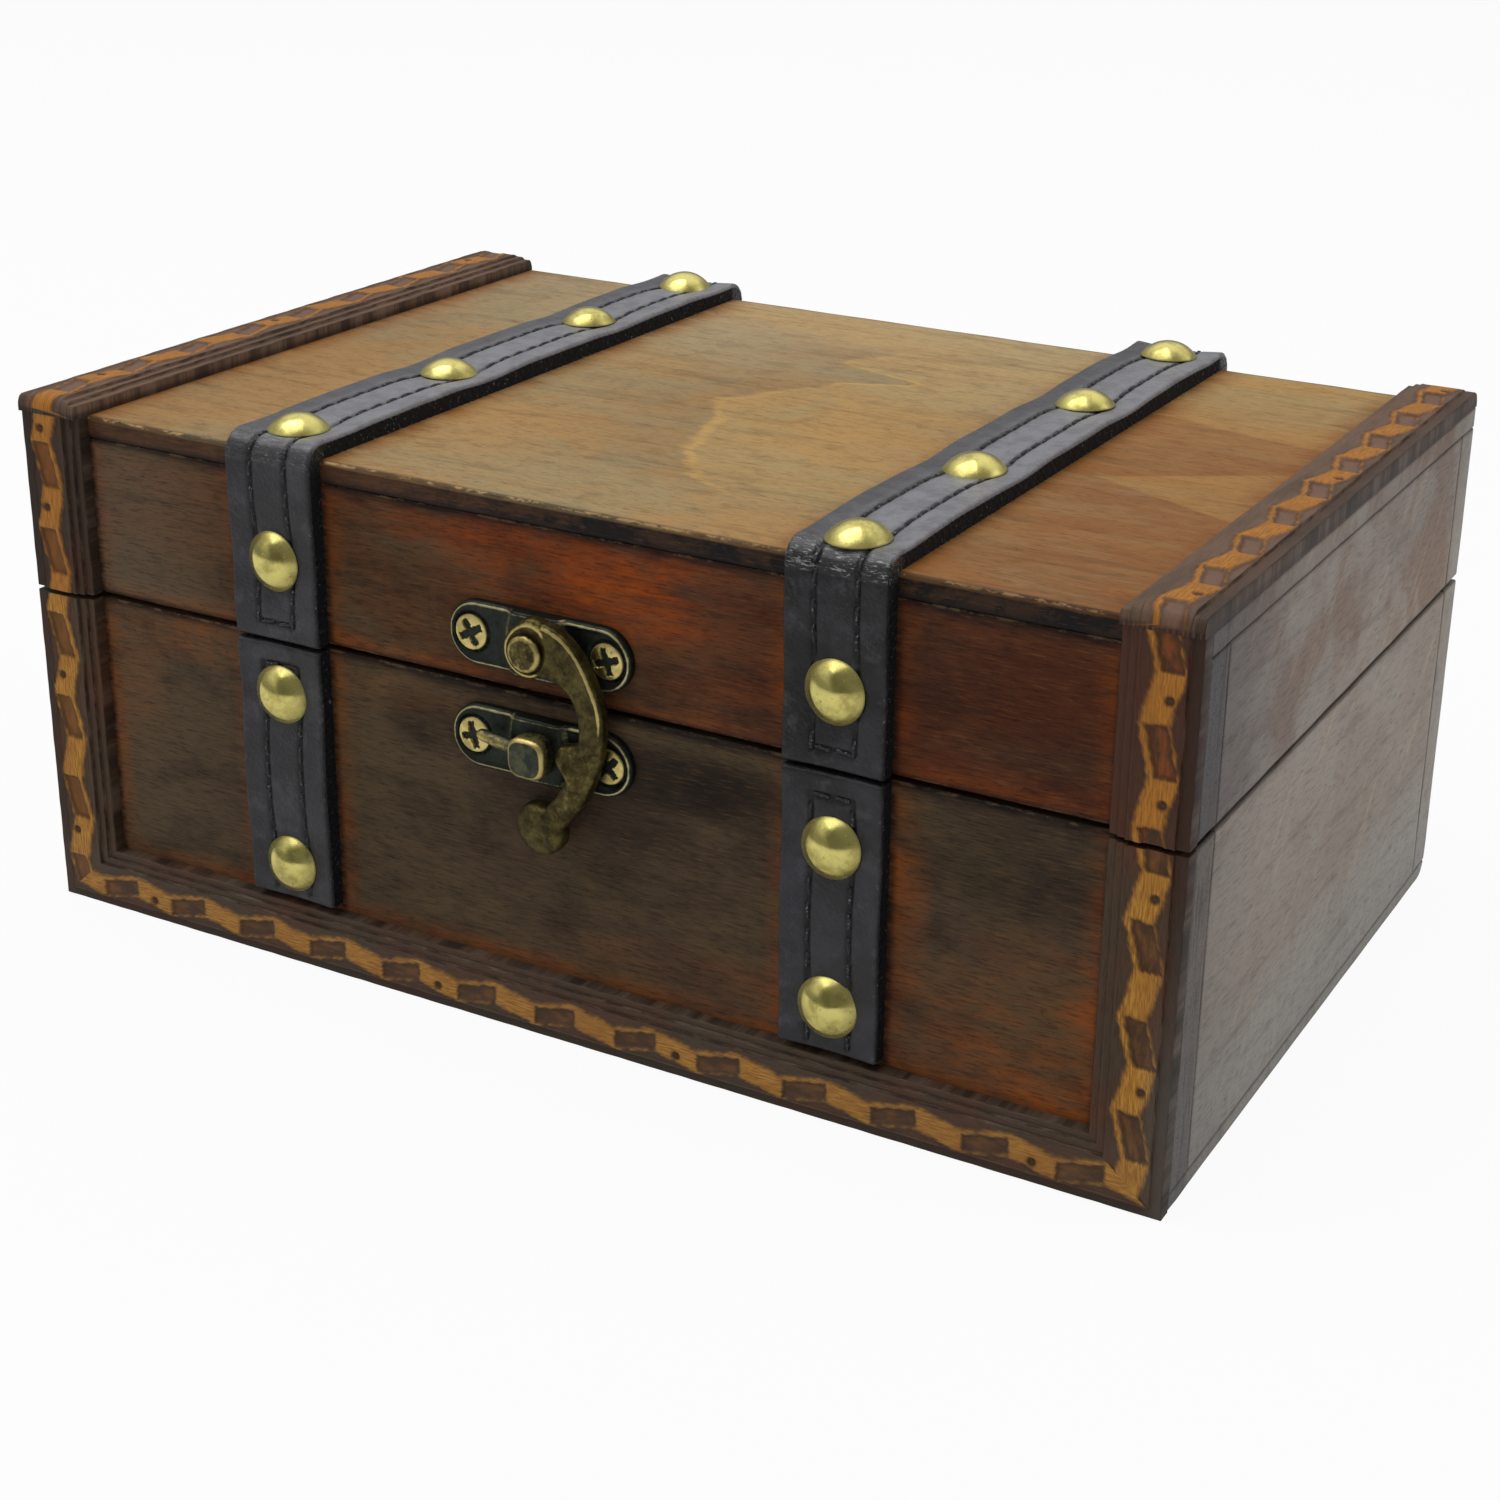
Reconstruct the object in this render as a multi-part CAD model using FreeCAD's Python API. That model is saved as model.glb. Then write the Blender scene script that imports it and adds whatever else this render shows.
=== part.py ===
import FreeCAD, Part
import math
import os

# A small wooden chest: panelled base and lid, burnt-carved strips along the edges, two leather
# straps held by dome tacks, a swing latch on the front and two butt hinges on the back.
# Millimetres. The origin is the middle of the underside, +X runs along the front to the right,
# +Y from the front to the back, +Z up.

# Whole chest
chest_length = 225.0
chest_width = 144.0             # front of the strips to the back of the walls
base_height = 62.2
lid_height = 36.9               # lower edge of the lid to the top of its strips
lid_gap = 0.9                   # dark line between lid and base

# Panels
wall_thickness = 8.0
bottom_thickness = 3.0
top_thickness = 4.0
lower_back_round = 4.0          # sanded lower back edge
top_edge_round = 1.0            # front and back edges of the top panel

# Carved strips: one moulding, cut to length and turned to suit each edge
strip_width = 13.0
bottom_strip_width = 11.5       # a narrower cut of the moulding
strip_thickness = 3.6
strip_outer_step = 2.1
strip_inner_step = 1.5          # each of the two steps on the inner side
strip_step_depth = 0.6
strip_front_flat = 1.0          # square part below the rounded ends of the strips on the top
strip_back_flat = 0.2
ornament_width = 7.4
ornament_period = 16.4
recess_length = 8.0
recess_width = 3.3
recess_slant = 2.0
recess_shift = 0.5              # from the middle of the ornament towards the outer edge
recess_depth = 0.5
strip_pin_radius = 0.6
strip_pin_inset = 4.6           # from the outer edge
strip_pin_spacing = 52.0
strip_pin_field = 4.0           # shortest plain field that takes a pin

# Where the first whole recess starts, from the end of the strip named here
base_right_recess = 9.5         # foot
base_left_recess = 3.7          # rim of the base
bottom_recess = 10.6            # left end
lid_right_recess = 10.8         # lower edge of the lid
lid_left_recess = 5.3           # top panel
top_right_recess = 13.0         # front
top_left_recess = 0.3           # back

# Leather straps
strap_width = 18.2
strap_thickness = 3.6
left_strap_inset = 56.2         # left end of the chest to the middle of the left straps
right_strap_inset = 59.0
base_strap_rise = 1.5           # bottom strip to the lower end of a base strap
back_strap_rise = 1.0           # upper edge of the hinges to the strap's end on the back

# Dome tacks, placed by eye, so the two straps differ a little
tack_head_radius = 5.5
tack_head_height = 3.0
tack_shank_radius = 0.9
nail_point_clearance = 0.6      # wood left in front of a nail's point
lid_tack_rise = {"left": 14.5, "right": 13.0}           # lower edge of the lid to the front tack
base_upper_tack_drop = {"left": 9.4, "right": 12.6}     # below the rim of the base
base_lower_tack_rise = {"left": 6.8, "right": 8.1}      # above the lower end of the strap
top_tack_front_inset = {"left": 9.4, "right": 7.5}      # front of the strips to the first tack
top_tack_back_inset = 5.8                               # back of the walls to the last tack
top_tack_shares = {"left": (0, 0.34, 0.71, 1), "right": (0, 0.32, 0.68, 1)}     # places along the row
back_tack_rise = 8.0            # above the strap's end on the back

# Latch and catch
latch_offset = -2.5             # sits a little left of the middle
latch_rise = 8.9                # lower edge of the lid to the rivet
catch_drop = 8.8                # rim of the base to the stud
plate_length = 36.0
plate_height = 11.4
plate_thickness = 1.6
boss_length = 10.5
boss_height = 2.6               # from the panel to the raised middle of a plate
plate_screw_spacing = 26.8
plate_screw_head_radius = 3.2
plate_screw_shank_radius = 1.4
screw_point_clearance = 1.0
rivet_radius = 2.2
rivet_head_radius = 3.2
rivet_head_thickness = 0.9
stud_radius = 3.6
stud_length = 3.8               # above the raised middle of the catch plate
finger_radius = 1.2
finger_length = 10.0
finger_tilt = 9.0               # degrees above the horizontal

# Latch hook
hook_thickness = 2.4
hook_play = 0.2                 # gap under and over the hook
hook_eye_radius = 4.6
hook_arm_width = 5.2
hook_bulge = 5.9                # stud to the inner edge of the arm at its widest
hook_rise = 4.5                 # top of the stud to the widest place of the arm
hook_throat = 5.0               # radius of the arm's inner bend below the eye
nub_radius = 2.6
nub_gap = 0.8                   # stud to the nub on the arm
tail_offset = 1.7               # pad to the right of the rivet
tail_gap = 4.4                  # stud to the pad
tail_radius = 4.8
tail_thickness = 4.2
running_fit = 0.08

# Hinges
hinge_inset = 32.5              # end of the chest to the middle of a hinge
hinge_length = 24.0
leaf_height = 14.0              # hinge axis to the far edge of a leaf
leaf_thickness = 1.0
knuckle_count = 3
knuckle_radius = 2.0
knuckle_standoff = 0.3          # wall to the knuckles
knuckle_gap = 0.3
hinge_pin_radius = 1.0
hinge_pin_head_radius = 1.6
hinge_pin_head_thickness = 0.8
hinge_fit = 0.05
hinge_screw_spacing = 14.0
hinge_screw_head_radius = 1.8
hinge_screw_shank_radius = 0.9

# Fasteners
hole_play = 0.05                # a drilled hole is this much wider than its shank, all round
cross_slot_width = 0.28         # width of a screw's cross recess as a share of its head radius
cross_slot_reach = 0.7          # reach of the recess as a share of its head radius

# Planes and places that follow from the sizes above
half_length = chest_length / 2
strip_front = -chest_width / 2
front_face = strip_front + strip_thickness
back_face = chest_width / 2
lid_bottom = base_height + lid_gap
lid_top = lid_bottom + lid_height
top_face = lid_top - strip_thickness
frame_top = top_face - top_thickness
base_strap_end = bottom_strip_width + base_strap_rise
nail_bite = top_thickness - nail_point_clearance
screw_bite = wall_thickness - screw_point_clearance
latch_height = lid_bottom + latch_rise
catch_height = base_height - catch_drop
stud_drop = latch_height - catch_height
hinge_y = back_face + knuckle_standoff + knuckle_radius
hinge_z = base_height + lid_gap / 2
back_strap_end = hinge_z + leaf_height + back_strap_rise
top_front_round = strip_thickness - strip_front_flat
top_back_round = strip_thickness - strip_back_flat
strap_middles = {"left": left_strap_inset - half_length, "right": half_length - right_strap_inset}
hinge_middles = {"left": hinge_inset - half_length, "right": half_length - hinge_inset}

origin = FreeCAD.Vector(0, 0, 0)
right = FreeCAD.Vector(1, 0, 0)
back = FreeCAD.Vector(0, 1, 0)
front = FreeCAD.Vector(0, -1, 0)
up = FreeCAD.Vector(0, 0, 1)
touching = 1e-6


def vec(x, y, z):
    return FreeCAD.Vector(x, y, z)


def in_xy(a, b):
    return vec(a, b, 0)


def in_xz(a, b):
    return vec(a, 0, b)


def in_yz(a, b):
    return vec(0, a, b)


def outline(corners, place):
    """Closed wire through (a, b, radius) corners, each rounded by its radius."""
    turns = []
    for index, (a, b, radius) in enumerate(corners):
        here = vec(a, b, 0)
        before = corners[index - 1]
        after = corners[(index + 1) % len(corners)]
        to_before = (vec(before[0], before[1], 0) - here).normalize()
        to_after = (vec(after[0], after[1], 0) - here).normalize()
        if radius == 0:
            turns.append((here, None, here))
            continue
        half_angle = to_before.getAngle(to_after) / 2
        reach = radius / math.tan(half_angle)
        inward = (to_before + to_after).normalize()
        middle = here + inward * (radius / math.sin(half_angle) - radius)
        turns.append((here + to_before * reach, middle, here + to_after * reach))
    edges = []
    for index, (start, middle, end) in enumerate(turns):
        if middle is not None:
            arc = Part.Arc(place(start.x, start.y), place(middle.x, middle.y), place(end.x, end.y))
            edges.append(arc.toShape())
        following = turns[(index + 1) % len(turns)][0]
        if (following - end).Length > touching:
            edges.append(Part.makeLine(place(end.x, end.y), place(following.x, following.y)))
    return Part.Wire(edges)


def prism(corners, place, sweep):
    return Part.Face(outline(corners, place)).extrude(sweep)


def rectangle(a0, a1, b0, b1, radius=0):
    return [(a0, b0, radius), (a1, b0, radius), (a1, b1, radius), (a0, b1, radius)]


def block(x0, x1, y0, y1, z0, z1):
    return Part.makeBox(x1 - x0, y1 - y0, z1 - z0, vec(x0, y0, z0))


def rod(start, direction, radius, length):
    return Part.makeCylinder(radius, length, start, direction)


def mirrored(shape):
    return shape.mirror(origin, right)


def aimed(shape, point, normal):
    """A shape built along +Z, stood on the point along the normal."""
    placed = shape.copy()
    placed.Placement = FreeCAD.Placement(point, FreeCAD.Rotation(up, normal))
    return placed


def shank_holes(spots, radius, depth):
    """Drilled holes below the (point, normal) spots."""
    return [rod(point, normal * -1, radius + hole_play, depth) for point, normal in spots]


# Carved strips

def strip_profile(width):
    """Section with its outer edge on X = 0, its back on Y = 0 and its face towards -Y."""
    share = width / strip_width
    outer = -strip_outer_step * share
    inner_step = strip_inner_step * share
    step_one = strip_thickness - strip_step_depth
    step_two = step_one - strip_step_depth
    corners = [
        (0, 0),
        (0, -step_one),
        (outer, -step_one),
        (outer, -strip_thickness),
        (2 * inner_step - width, -strip_thickness),
        (2 * inner_step - width, -step_one),
        (inner_step - width, -step_one),
        (inner_step - width, -step_two),
        (-width, -step_two),
        (-width, 0),
    ]
    return [(a, b, 0) for a, b in corners]


def recess_starts(length, first_recess):
    """Starts of all recesses that a strip shows, also of those that its ends cut through."""
    earlier = math.floor((first_recess + recess_length) / ornament_period)
    start = first_recess - earlier * ornament_period
    count = math.ceil((length - start) / ornament_period)
    return [start + index * ornament_period for index in range(count)]


def pin_places(length, starts, low, high):
    """Middles of the plain fields that take a pin: near both ends, and evenly between."""
    field_length = ornament_period - recess_length
    fields = [(max(low, start - field_length), min(high, start)) for start in starts]
    fields.append((max(low, starts[-1] + recess_length), high))
    middles = [(first + last) / 2 for first, last in fields if last - first >= strip_pin_field]
    count = min(len(middles), max(2, round(length / strip_pin_spacing)))
    if count < 2:
        return middles
    chosen = {round(index * (len(middles) - 1) / (count - 1)) for index in range(count)}
    return [middles[index] for index in sorted(chosen)]


def carved_strip(length, width, first_recess, low, high):
    """Bar along +Z with its slanted recesses, its pins between low and high, and their holes."""
    share = width / strip_width
    middle = -(strip_outer_step + ornament_width / 2) * share
    half_width = recess_width / 2 * share
    half_slant = recess_slant / 2 * share
    foot = middle + recess_shift * share + half_slant
    tip = foot - 2 * half_slant
    starts = recess_starts(length, first_recess)
    recesses = []
    for start in starts:
        corners = [
            (foot - half_width, start, 0),
            (foot + half_width, start, 0),
            (tip + half_width, start + recess_length, 0),
            (tip - half_width, start + recess_length, 0),
        ]
        recess = prism(corners, in_xz, back * recess_depth)
        recesses.append(recess.translated(front * strip_thickness))
    places = pin_places(length, starts, low, high)
    spots = [(vec(-strip_pin_inset * share, -strip_thickness, place), front) for place in places]
    depth = strip_thickness + nail_bite
    holes = shank_holes(spots, strip_pin_radius, depth)
    pins = [rod(point, back, strip_pin_radius, depth) for point, normal in spots]
    bar = prism(strip_profile(width), in_xy, up * length).cut(recesses + holes)
    return {"bar": bar, "pins": pins, "holes": holes}


def moved_strip(strip, move):
    """The strip, its pins and its holes, carried together."""
    return {
        "bar": move(strip["bar"]),
        "pins": [move(pin) for pin in strip["pins"]],
        "holes": [move(hole) for hole in strip["holes"]],
    }


def end_for_end(shape):
    return shape.rotated(origin, back, 180)


def laid_back(shape):
    return shape.rotated(origin, right, -90)


def foot_mitre():
    """Space of the right-hand strip above the mitre at its foot."""
    corners = [
        (half_length - strip_width, bottom_strip_width, 0),
        (half_length, 0, 0),
        (half_length, base_height, 0),
        (half_length - strip_width, base_height, 0),
    ]
    return prism(corners, in_xz, back * strip_thickness).translated(back * strip_front)


def base_side_strips():
    """Upright strips at the ends of the base, mitred at the foot; the left one is turned end for end."""
    clear = base_height - bottom_strip_width
    right_strip = carved_strip(base_height, strip_width, base_right_recess, bottom_strip_width, base_height)
    left_strip = carved_strip(base_height, strip_width, base_left_recess, 0, clear)
    right_place = vec(half_length, front_face, 0)
    left_place = vec(-half_length, front_face, base_height)
    right_strip = moved_strip(right_strip, lambda shape: shape.translated(right_place))
    left_strip = moved_strip(left_strip, lambda shape: end_for_end(shape).translated(left_place))
    right_strip["bar"] = right_strip["bar"].common(foot_mitre())
    left_strip["bar"] = left_strip["bar"].common(mirrored(foot_mitre()))
    return {"left": left_strip, "right": right_strip}


def base_bottom_strip():
    """Long strip along the foot of the front, mitred at both ends."""
    clear = chest_length - strip_width
    strip = carved_strip(chest_length, bottom_strip_width, bottom_recess, strip_width, clear)
    place = vec(-half_length, front_face, 0)
    strip = moved_strip(strip, lambda shape: shape.rotated(origin, back, 90).translated(place))
    corners = [
        (-half_length, 0, 0),
        (half_length, 0, 0),
        (half_length - strip_width, bottom_strip_width, 0),
        (strip_width - half_length, bottom_strip_width, 0),
    ]
    mitres = prism(corners, in_xz, back * strip_thickness).translated(back * strip_front)
    strip["bar"] = strip["bar"].common(mitres)
    return strip


def lid_side_strips():
    """Short upright strips at the ends of the lid's front; the left one is turned end for end."""
    length = top_face - lid_bottom
    right_strip = carved_strip(length, strip_width, lid_right_recess, 0, length)
    left_strip = carved_strip(length, strip_width, lid_left_recess, 0, length)
    right_place = vec(half_length, front_face, lid_bottom)
    left_place = vec(-half_length, front_face, top_face)
    return {
        "left": moved_strip(left_strip, lambda shape: end_for_end(shape).translated(left_place)),
        "right": moved_strip(right_strip, lambda shape: shape.translated(right_place)),
    }


def lid_top_strips():
    """Strips along the ends of the top, their ends rounded over; the left one is turned end for end."""
    right_strip = carved_strip(chest_width, strip_width, top_right_recess,
                               top_front_round, chest_width - top_back_round)
    left_strip = carved_strip(chest_width, strip_width, top_left_recess,
                              top_back_round, chest_width - top_front_round)
    right_place = vec(half_length, strip_front, top_face)
    left_place = vec(-half_length, back_face, top_face)
    strips = {
        "left": moved_strip(left_strip, lambda shape: laid_back(end_for_end(shape)).translated(left_place)),
        "right": moved_strip(right_strip, lambda shape: laid_back(shape).translated(right_place)),
    }
    corners = [
        (strip_front, top_face, 0),
        (back_face, top_face, 0),
        (back_face, lid_top, top_back_round),
        (strip_front, lid_top, top_front_round),
    ]
    rounded = prism(corners, in_yz, right * chest_length).translated(right * -half_length)
    for strip in strips.values():
        strip["bar"] = strip["bar"].common(rounded)
    return strips


# Leather straps and dome tacks

def lid_strap(middle):
    """Strap from the lower edge of the lid's front, over the top and part way down the back."""
    outer_round = top_edge_round + strap_thickness
    corners = [
        (front_face - strap_thickness, lid_bottom, 0),
        (front_face - strap_thickness, top_face + strap_thickness, outer_round),
        (back_face + strap_thickness, top_face + strap_thickness, outer_round),
        (back_face + strap_thickness, back_strap_end, 0),
        (back_face, back_strap_end, 0),
        (back_face, top_face, top_edge_round),
        (front_face, top_face, top_edge_round),
        (front_face, lid_bottom, 0),
    ]
    return prism(corners, in_yz, right * strap_width).translated(right * (middle - strap_width / 2))


def base_strap(middle):
    half_width = strap_width / 2
    return block(middle - half_width, middle + half_width, front_face - strap_thickness, front_face,
                 base_strap_end, base_height)


def lid_tack_spots(side):
    """One tack on the front, a row on the top and one on the back."""
    middle = strap_middles[side]
    spots = [(vec(middle, front_face - strap_thickness, lid_bottom + lid_tack_rise[side]), front)]
    first = strip_front + top_tack_front_inset[side]
    row_length = back_face - top_tack_back_inset - first
    for share in top_tack_shares[side]:
        spots.append((vec(middle, first + share * row_length, top_face + strap_thickness), up))
    spots.append((vec(middle, back_face + strap_thickness, back_strap_end + back_tack_rise), back))
    return spots


def base_tack_spots(side):
    heights = (base_height - base_upper_tack_drop[side], base_strap_end + base_lower_tack_rise[side])
    return [(vec(strap_middles[side], front_face - strap_thickness, height), front) for height in heights]


def dome_tack():
    """Domed head on the plane Z = 0 with a pointed shank below it."""
    length = strap_thickness + nail_bite
    tip = 2 * tack_shank_radius
    dome_radius = (tack_head_radius ** 2 + tack_head_height ** 2) / (2 * tack_head_height)
    half_turn = math.asin(tack_head_radius / dome_radius) / 2
    dome_middle = in_xz(dome_radius * math.sin(half_turn),
                        tack_head_height - dome_radius * (1 - math.cos(half_turn)))
    rim = in_xz(tack_head_radius, 0)
    crown = in_xz(0, tack_head_height)
    dome = Part.Arc(rim, dome_middle, crown).toShape()
    shank = Part.makePolygon([
        crown,
        in_xz(0, -length),
        in_xz(tack_shank_radius, tip - length),
        in_xz(tack_shank_radius, 0),
        rim,
    ])
    return Part.Face(Part.Wire([dome] + shank.Edges)).revolve(origin, up, 360)


# Screws

def screw(head_radius, head_depth, shank_radius):
    """Countersunk cross-head screw with its face on the plane Z = 0."""
    length = head_depth + screw_bite
    tip = 2 * shank_radius
    corners = [
        in_xz(0, 0),
        in_xz(head_radius, 0),
        in_xz(shank_radius, -head_depth),
        in_xz(shank_radius, tip - length),
        in_xz(0, -length),
        in_xz(0, 0),
    ]
    body = Part.Face(Part.makePolygon(corners)).revolve(origin, up, 360)
    half_width = cross_slot_width * head_radius / 2
    reach = cross_slot_reach * head_radius
    slot = block(-reach, reach, -half_width, half_width, -head_depth / 2, head_depth)
    return body.cut([slot, slot.rotated(origin, up, 90)])


def screw_hole(head_radius, head_depth, shank_radius):
    """Countersink and pilot hole for such a screw."""
    sink = Part.makeCone(head_radius + hole_play, shank_radius + hole_play, head_depth, origin, up * -1)
    return sink.fuse(rod(origin, up * -1, shank_radius + hole_play, head_depth + screw_bite))


def plate_screw_spots(height):
    half = plate_screw_spacing / 2
    face = front_face - plate_thickness
    return [(vec(latch_offset + side * half, face, height), front) for side in (-1, 1)]


def hinge_screw_spots(side):
    """Two screws in each leaf: side +1 is the lid's leaf, -1 the base's."""
    height = hinge_z + side * (knuckle_radius + knuckle_gap + leaf_height) / 2
    half = hinge_screw_spacing / 2
    face = back_face + leaf_thickness
    return [(vec(middle + shift, face, height), back)
            for middle in hinge_middles.values() for shift in (-half, half)]


def plate_screws(height):
    shape = screw(plate_screw_head_radius, plate_thickness, plate_screw_shank_radius)
    return [aimed(shape, point, normal) for point, normal in plate_screw_spots(height)]


def plate_screw_holes(height):
    shape = screw_hole(plate_screw_head_radius, plate_thickness, plate_screw_shank_radius)
    return [aimed(shape, point, normal) for point, normal in plate_screw_spots(height)]


def hinge_screws(side):
    shape = screw(hinge_screw_head_radius, leaf_thickness, hinge_screw_shank_radius)
    return [aimed(shape, point, normal) for point, normal in hinge_screw_spots(side)]


def hinge_screw_holes(side):
    shape = screw_hole(hinge_screw_head_radius, leaf_thickness, hinge_screw_shank_radius)
    return [aimed(shape, point, normal) for point, normal in hinge_screw_spots(side)]


# Latch and catch: built flat, X right, Y up and Z away from the panel, then stood on the panel

def on_front(shape, height):
    return aimed(shape, vec(latch_offset, front_face, height), front)


def plate(height):
    """Round-ended plate with a raised middle, its screw holes and a hole for the rivet or stud."""
    half_plate = plate_length / 2
    half_height = plate_height / 2
    rounded = rectangle(-half_plate, half_plate, -half_height, half_height, half_height)
    flat = prism(rounded, in_xy, up * plate_thickness)
    boss = block(-boss_length / 2, boss_length / 2, -half_height, half_height, 0, boss_height)
    shape = flat.fuse(boss).removeSplitter().cut(rod(origin, up, rivet_radius + hole_play, boss_height))
    return on_front(shape, height).cut(plate_screw_holes(height))


def latch_rivet():
    """Rivet through the plate and the hook's eye, with a flat head over the hook."""
    head_seat = boss_height + hook_thickness + 2 * hook_play
    shank = rod(origin, up, rivet_radius, head_seat)
    head = rod(up * head_seat, up, rivet_head_radius, rivet_head_thickness)
    return on_front(shank.fuse(head).removeSplitter(), latch_height)


def catch_stud():
    """Thick stud on the catch plate with a short finger pointing left."""
    shank = rod(origin, up, rivet_radius, boss_height)
    head = rod(up * boss_height, up, stud_radius, stud_length)
    tilt = math.radians(finger_tilt)
    pointing = vec(-math.cos(tilt), math.sin(tilt), 0)
    root = up * (boss_height + finger_radius)
    finger = rod(root, pointing, finger_radius, finger_length)
    tip = Part.makeSphere(finger_radius, root + pointing * finger_length)
    return on_front(shank.fuse([head, finger, tip]).removeSplitter(), catch_height)


def arc_edge(center, radius, from_angle, to_angle):
    """Arc in the plane of the latch between two angles in radians."""
    angles = (from_angle, (from_angle + to_angle) / 2, to_angle)
    points = [center + vec(radius * math.cos(angle), radius * math.sin(angle), 0) for angle in angles]
    return Part.Arc(*points).toShape()


def hook_arm():
    """Curved arm: one arc from the rivet to its widest place, a second from there to the pad. Below the eye
    a tighter bend on the inner side leaves the arm wider."""
    half_width = hook_arm_width / 2
    widest = stud_radius + hook_bulge + half_width
    drop = stud_drop - stud_radius - hook_rise
    upper_x = (widest ** 2 - drop ** 2) / (2 * widest)
    upper_radius = widest - upper_x
    upper_center = vec(upper_x, -drop, 0)
    tail = tail_middle()
    reach = widest - tail.x
    fall = -drop - tail.y
    lower_radius = (reach ** 2 + fall ** 2) / (2 * reach)
    lower_center = vec(widest - lower_radius, -drop, 0)
    throat_center = vec(widest - half_width - hook_throat, -drop, 0)
    inside_eye = vec(0, -(hook_eye_radius + rivet_radius) / 2, 0)
    start = math.atan2(drop, -upper_x)
    end = math.atan2(-fall, tail.x - lower_center.x)
    outer = [
        arc_edge(upper_center, upper_radius + half_width, start, 0),
        arc_edge(lower_center, lower_radius + half_width, 0, end),
    ]
    inner = [
        arc_edge(lower_center, lower_radius - half_width, end, 0),
        arc_edge(throat_center, hook_throat, 0, math.pi / 2),
    ]
    foot = Part.makeLine(outer[1].Vertexes[-1].Point, inner[0].Vertexes[0].Point)
    head = Part.makePolygon([inner[1].Vertexes[-1].Point, inside_eye, outer[0].Vertexes[0].Point])
    return Part.Face(Part.Wire([outer[0], outer[1], foot, inner[0], inner[1], *head.Edges]))


def tail_middle():
    return vec(tail_offset, -(stud_drop + stud_radius + tail_gap + tail_radius), 0)


def latch_hook():
    """Eye on the rivet, curved arm with a nub beside the stud, and a round pad on the tail."""
    underside = up * (boss_height + hook_play)
    arm = hook_arm().extrude(up * hook_thickness).translated(underside)
    eye = rod(underside, up, hook_eye_radius, hook_thickness)
    nub_middle = vec(stud_radius + nub_gap + nub_radius, -stud_drop, 0)
    nub = rod(nub_middle + underside, up, nub_radius, hook_thickness)
    pad = rod(tail_middle() + underside, up, tail_radius, tail_thickness)
    bore = rod(underside, up, rivet_radius + running_fit, hook_thickness)
    return on_front(arm.fuse([eye, nub, pad]).removeSplitter().cut(bore), latch_height)


# Hinges

def knuckle_spans(middle):
    """The knuckles along a hinge's axis from left to right, as pairs of X values."""
    length = (hinge_length - (knuckle_count - 1) * knuckle_gap) / knuckle_count
    first = middle - hinge_length / 2
    starts = [first + index * (length + knuckle_gap) for index in range(knuckle_count)]
    return [(start, start + length) for start in starts]


def hinge_leaf(middle, side):
    """Flat leaf with its rolled knuckles: side +1 is the lid's leaf, -1 the base's."""
    near = hinge_z + side * (knuckle_radius + knuckle_gap)
    far = hinge_z + side * leaf_height
    half = hinge_length / 2
    outside = back_face + leaf_thickness
    leaf = block(middle - half, middle + half, back_face, outside, min(near, far), max(near, far))
    first_knuckle = 1 if side > 0 else 0
    for start, end in knuckle_spans(middle)[first_knuckle::2]:
        knuckle = rod(vec(start, hinge_y, hinge_z), right, knuckle_radius, end - start)
        tongue = block(start, end, back_face, outside, min(hinge_z, near), max(hinge_z, near))
        leaf = leaf.fuse([knuckle, tongue])
    bore = rod(vec(middle - half, hinge_y, hinge_z), right, hinge_pin_radius + hinge_fit, hinge_length)
    return leaf.removeSplitter().cut([bore] + hinge_screw_holes(side))


def hinge_pin(middle):
    """Pin through the knuckles with a flat head at each end."""
    start = vec(middle - hinge_length / 2, hinge_y, hinge_z)
    end = start + right * hinge_length
    shank = rod(start, right, hinge_pin_radius, hinge_length)
    heads = [
        rod(start, right * -1, hinge_pin_head_radius, hinge_pin_head_thickness),
        rod(end, right, hinge_pin_head_radius, hinge_pin_head_thickness),
    ]
    return shank.fuse(heads).removeSplitter()


# Base

def base_panels(holes):
    """Bottom under four walls, the end walls standing between front and back."""
    corners = rectangle(front_face, back_face, 0, base_height)
    corners[1] = (back_face, 0, lower_back_round)
    rounded = prism(corners, in_yz, right * chest_length).translated(right * -half_length)
    inner_front = front_face + wall_thickness
    inner_back = back_face - wall_thickness
    end_panel = block(half_length - wall_thickness, half_length, inner_front, inner_back,
                      bottom_thickness, base_height)
    panels = {
        "base_bottom_panel": block(-half_length, half_length, front_face, back_face, 0, bottom_thickness),
        "base_front_panel": block(-half_length, half_length, front_face, inner_front,
                                  bottom_thickness, base_height),
        "base_back_panel": block(-half_length, half_length, inner_back, back_face,
                                 bottom_thickness, base_height),
        "base_right_end_panel": end_panel,
        "base_left_end_panel": mirrored(end_panel),
    }
    return {name: panel.common(rounded).cut(holes) for name, panel in panels.items()}


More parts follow.
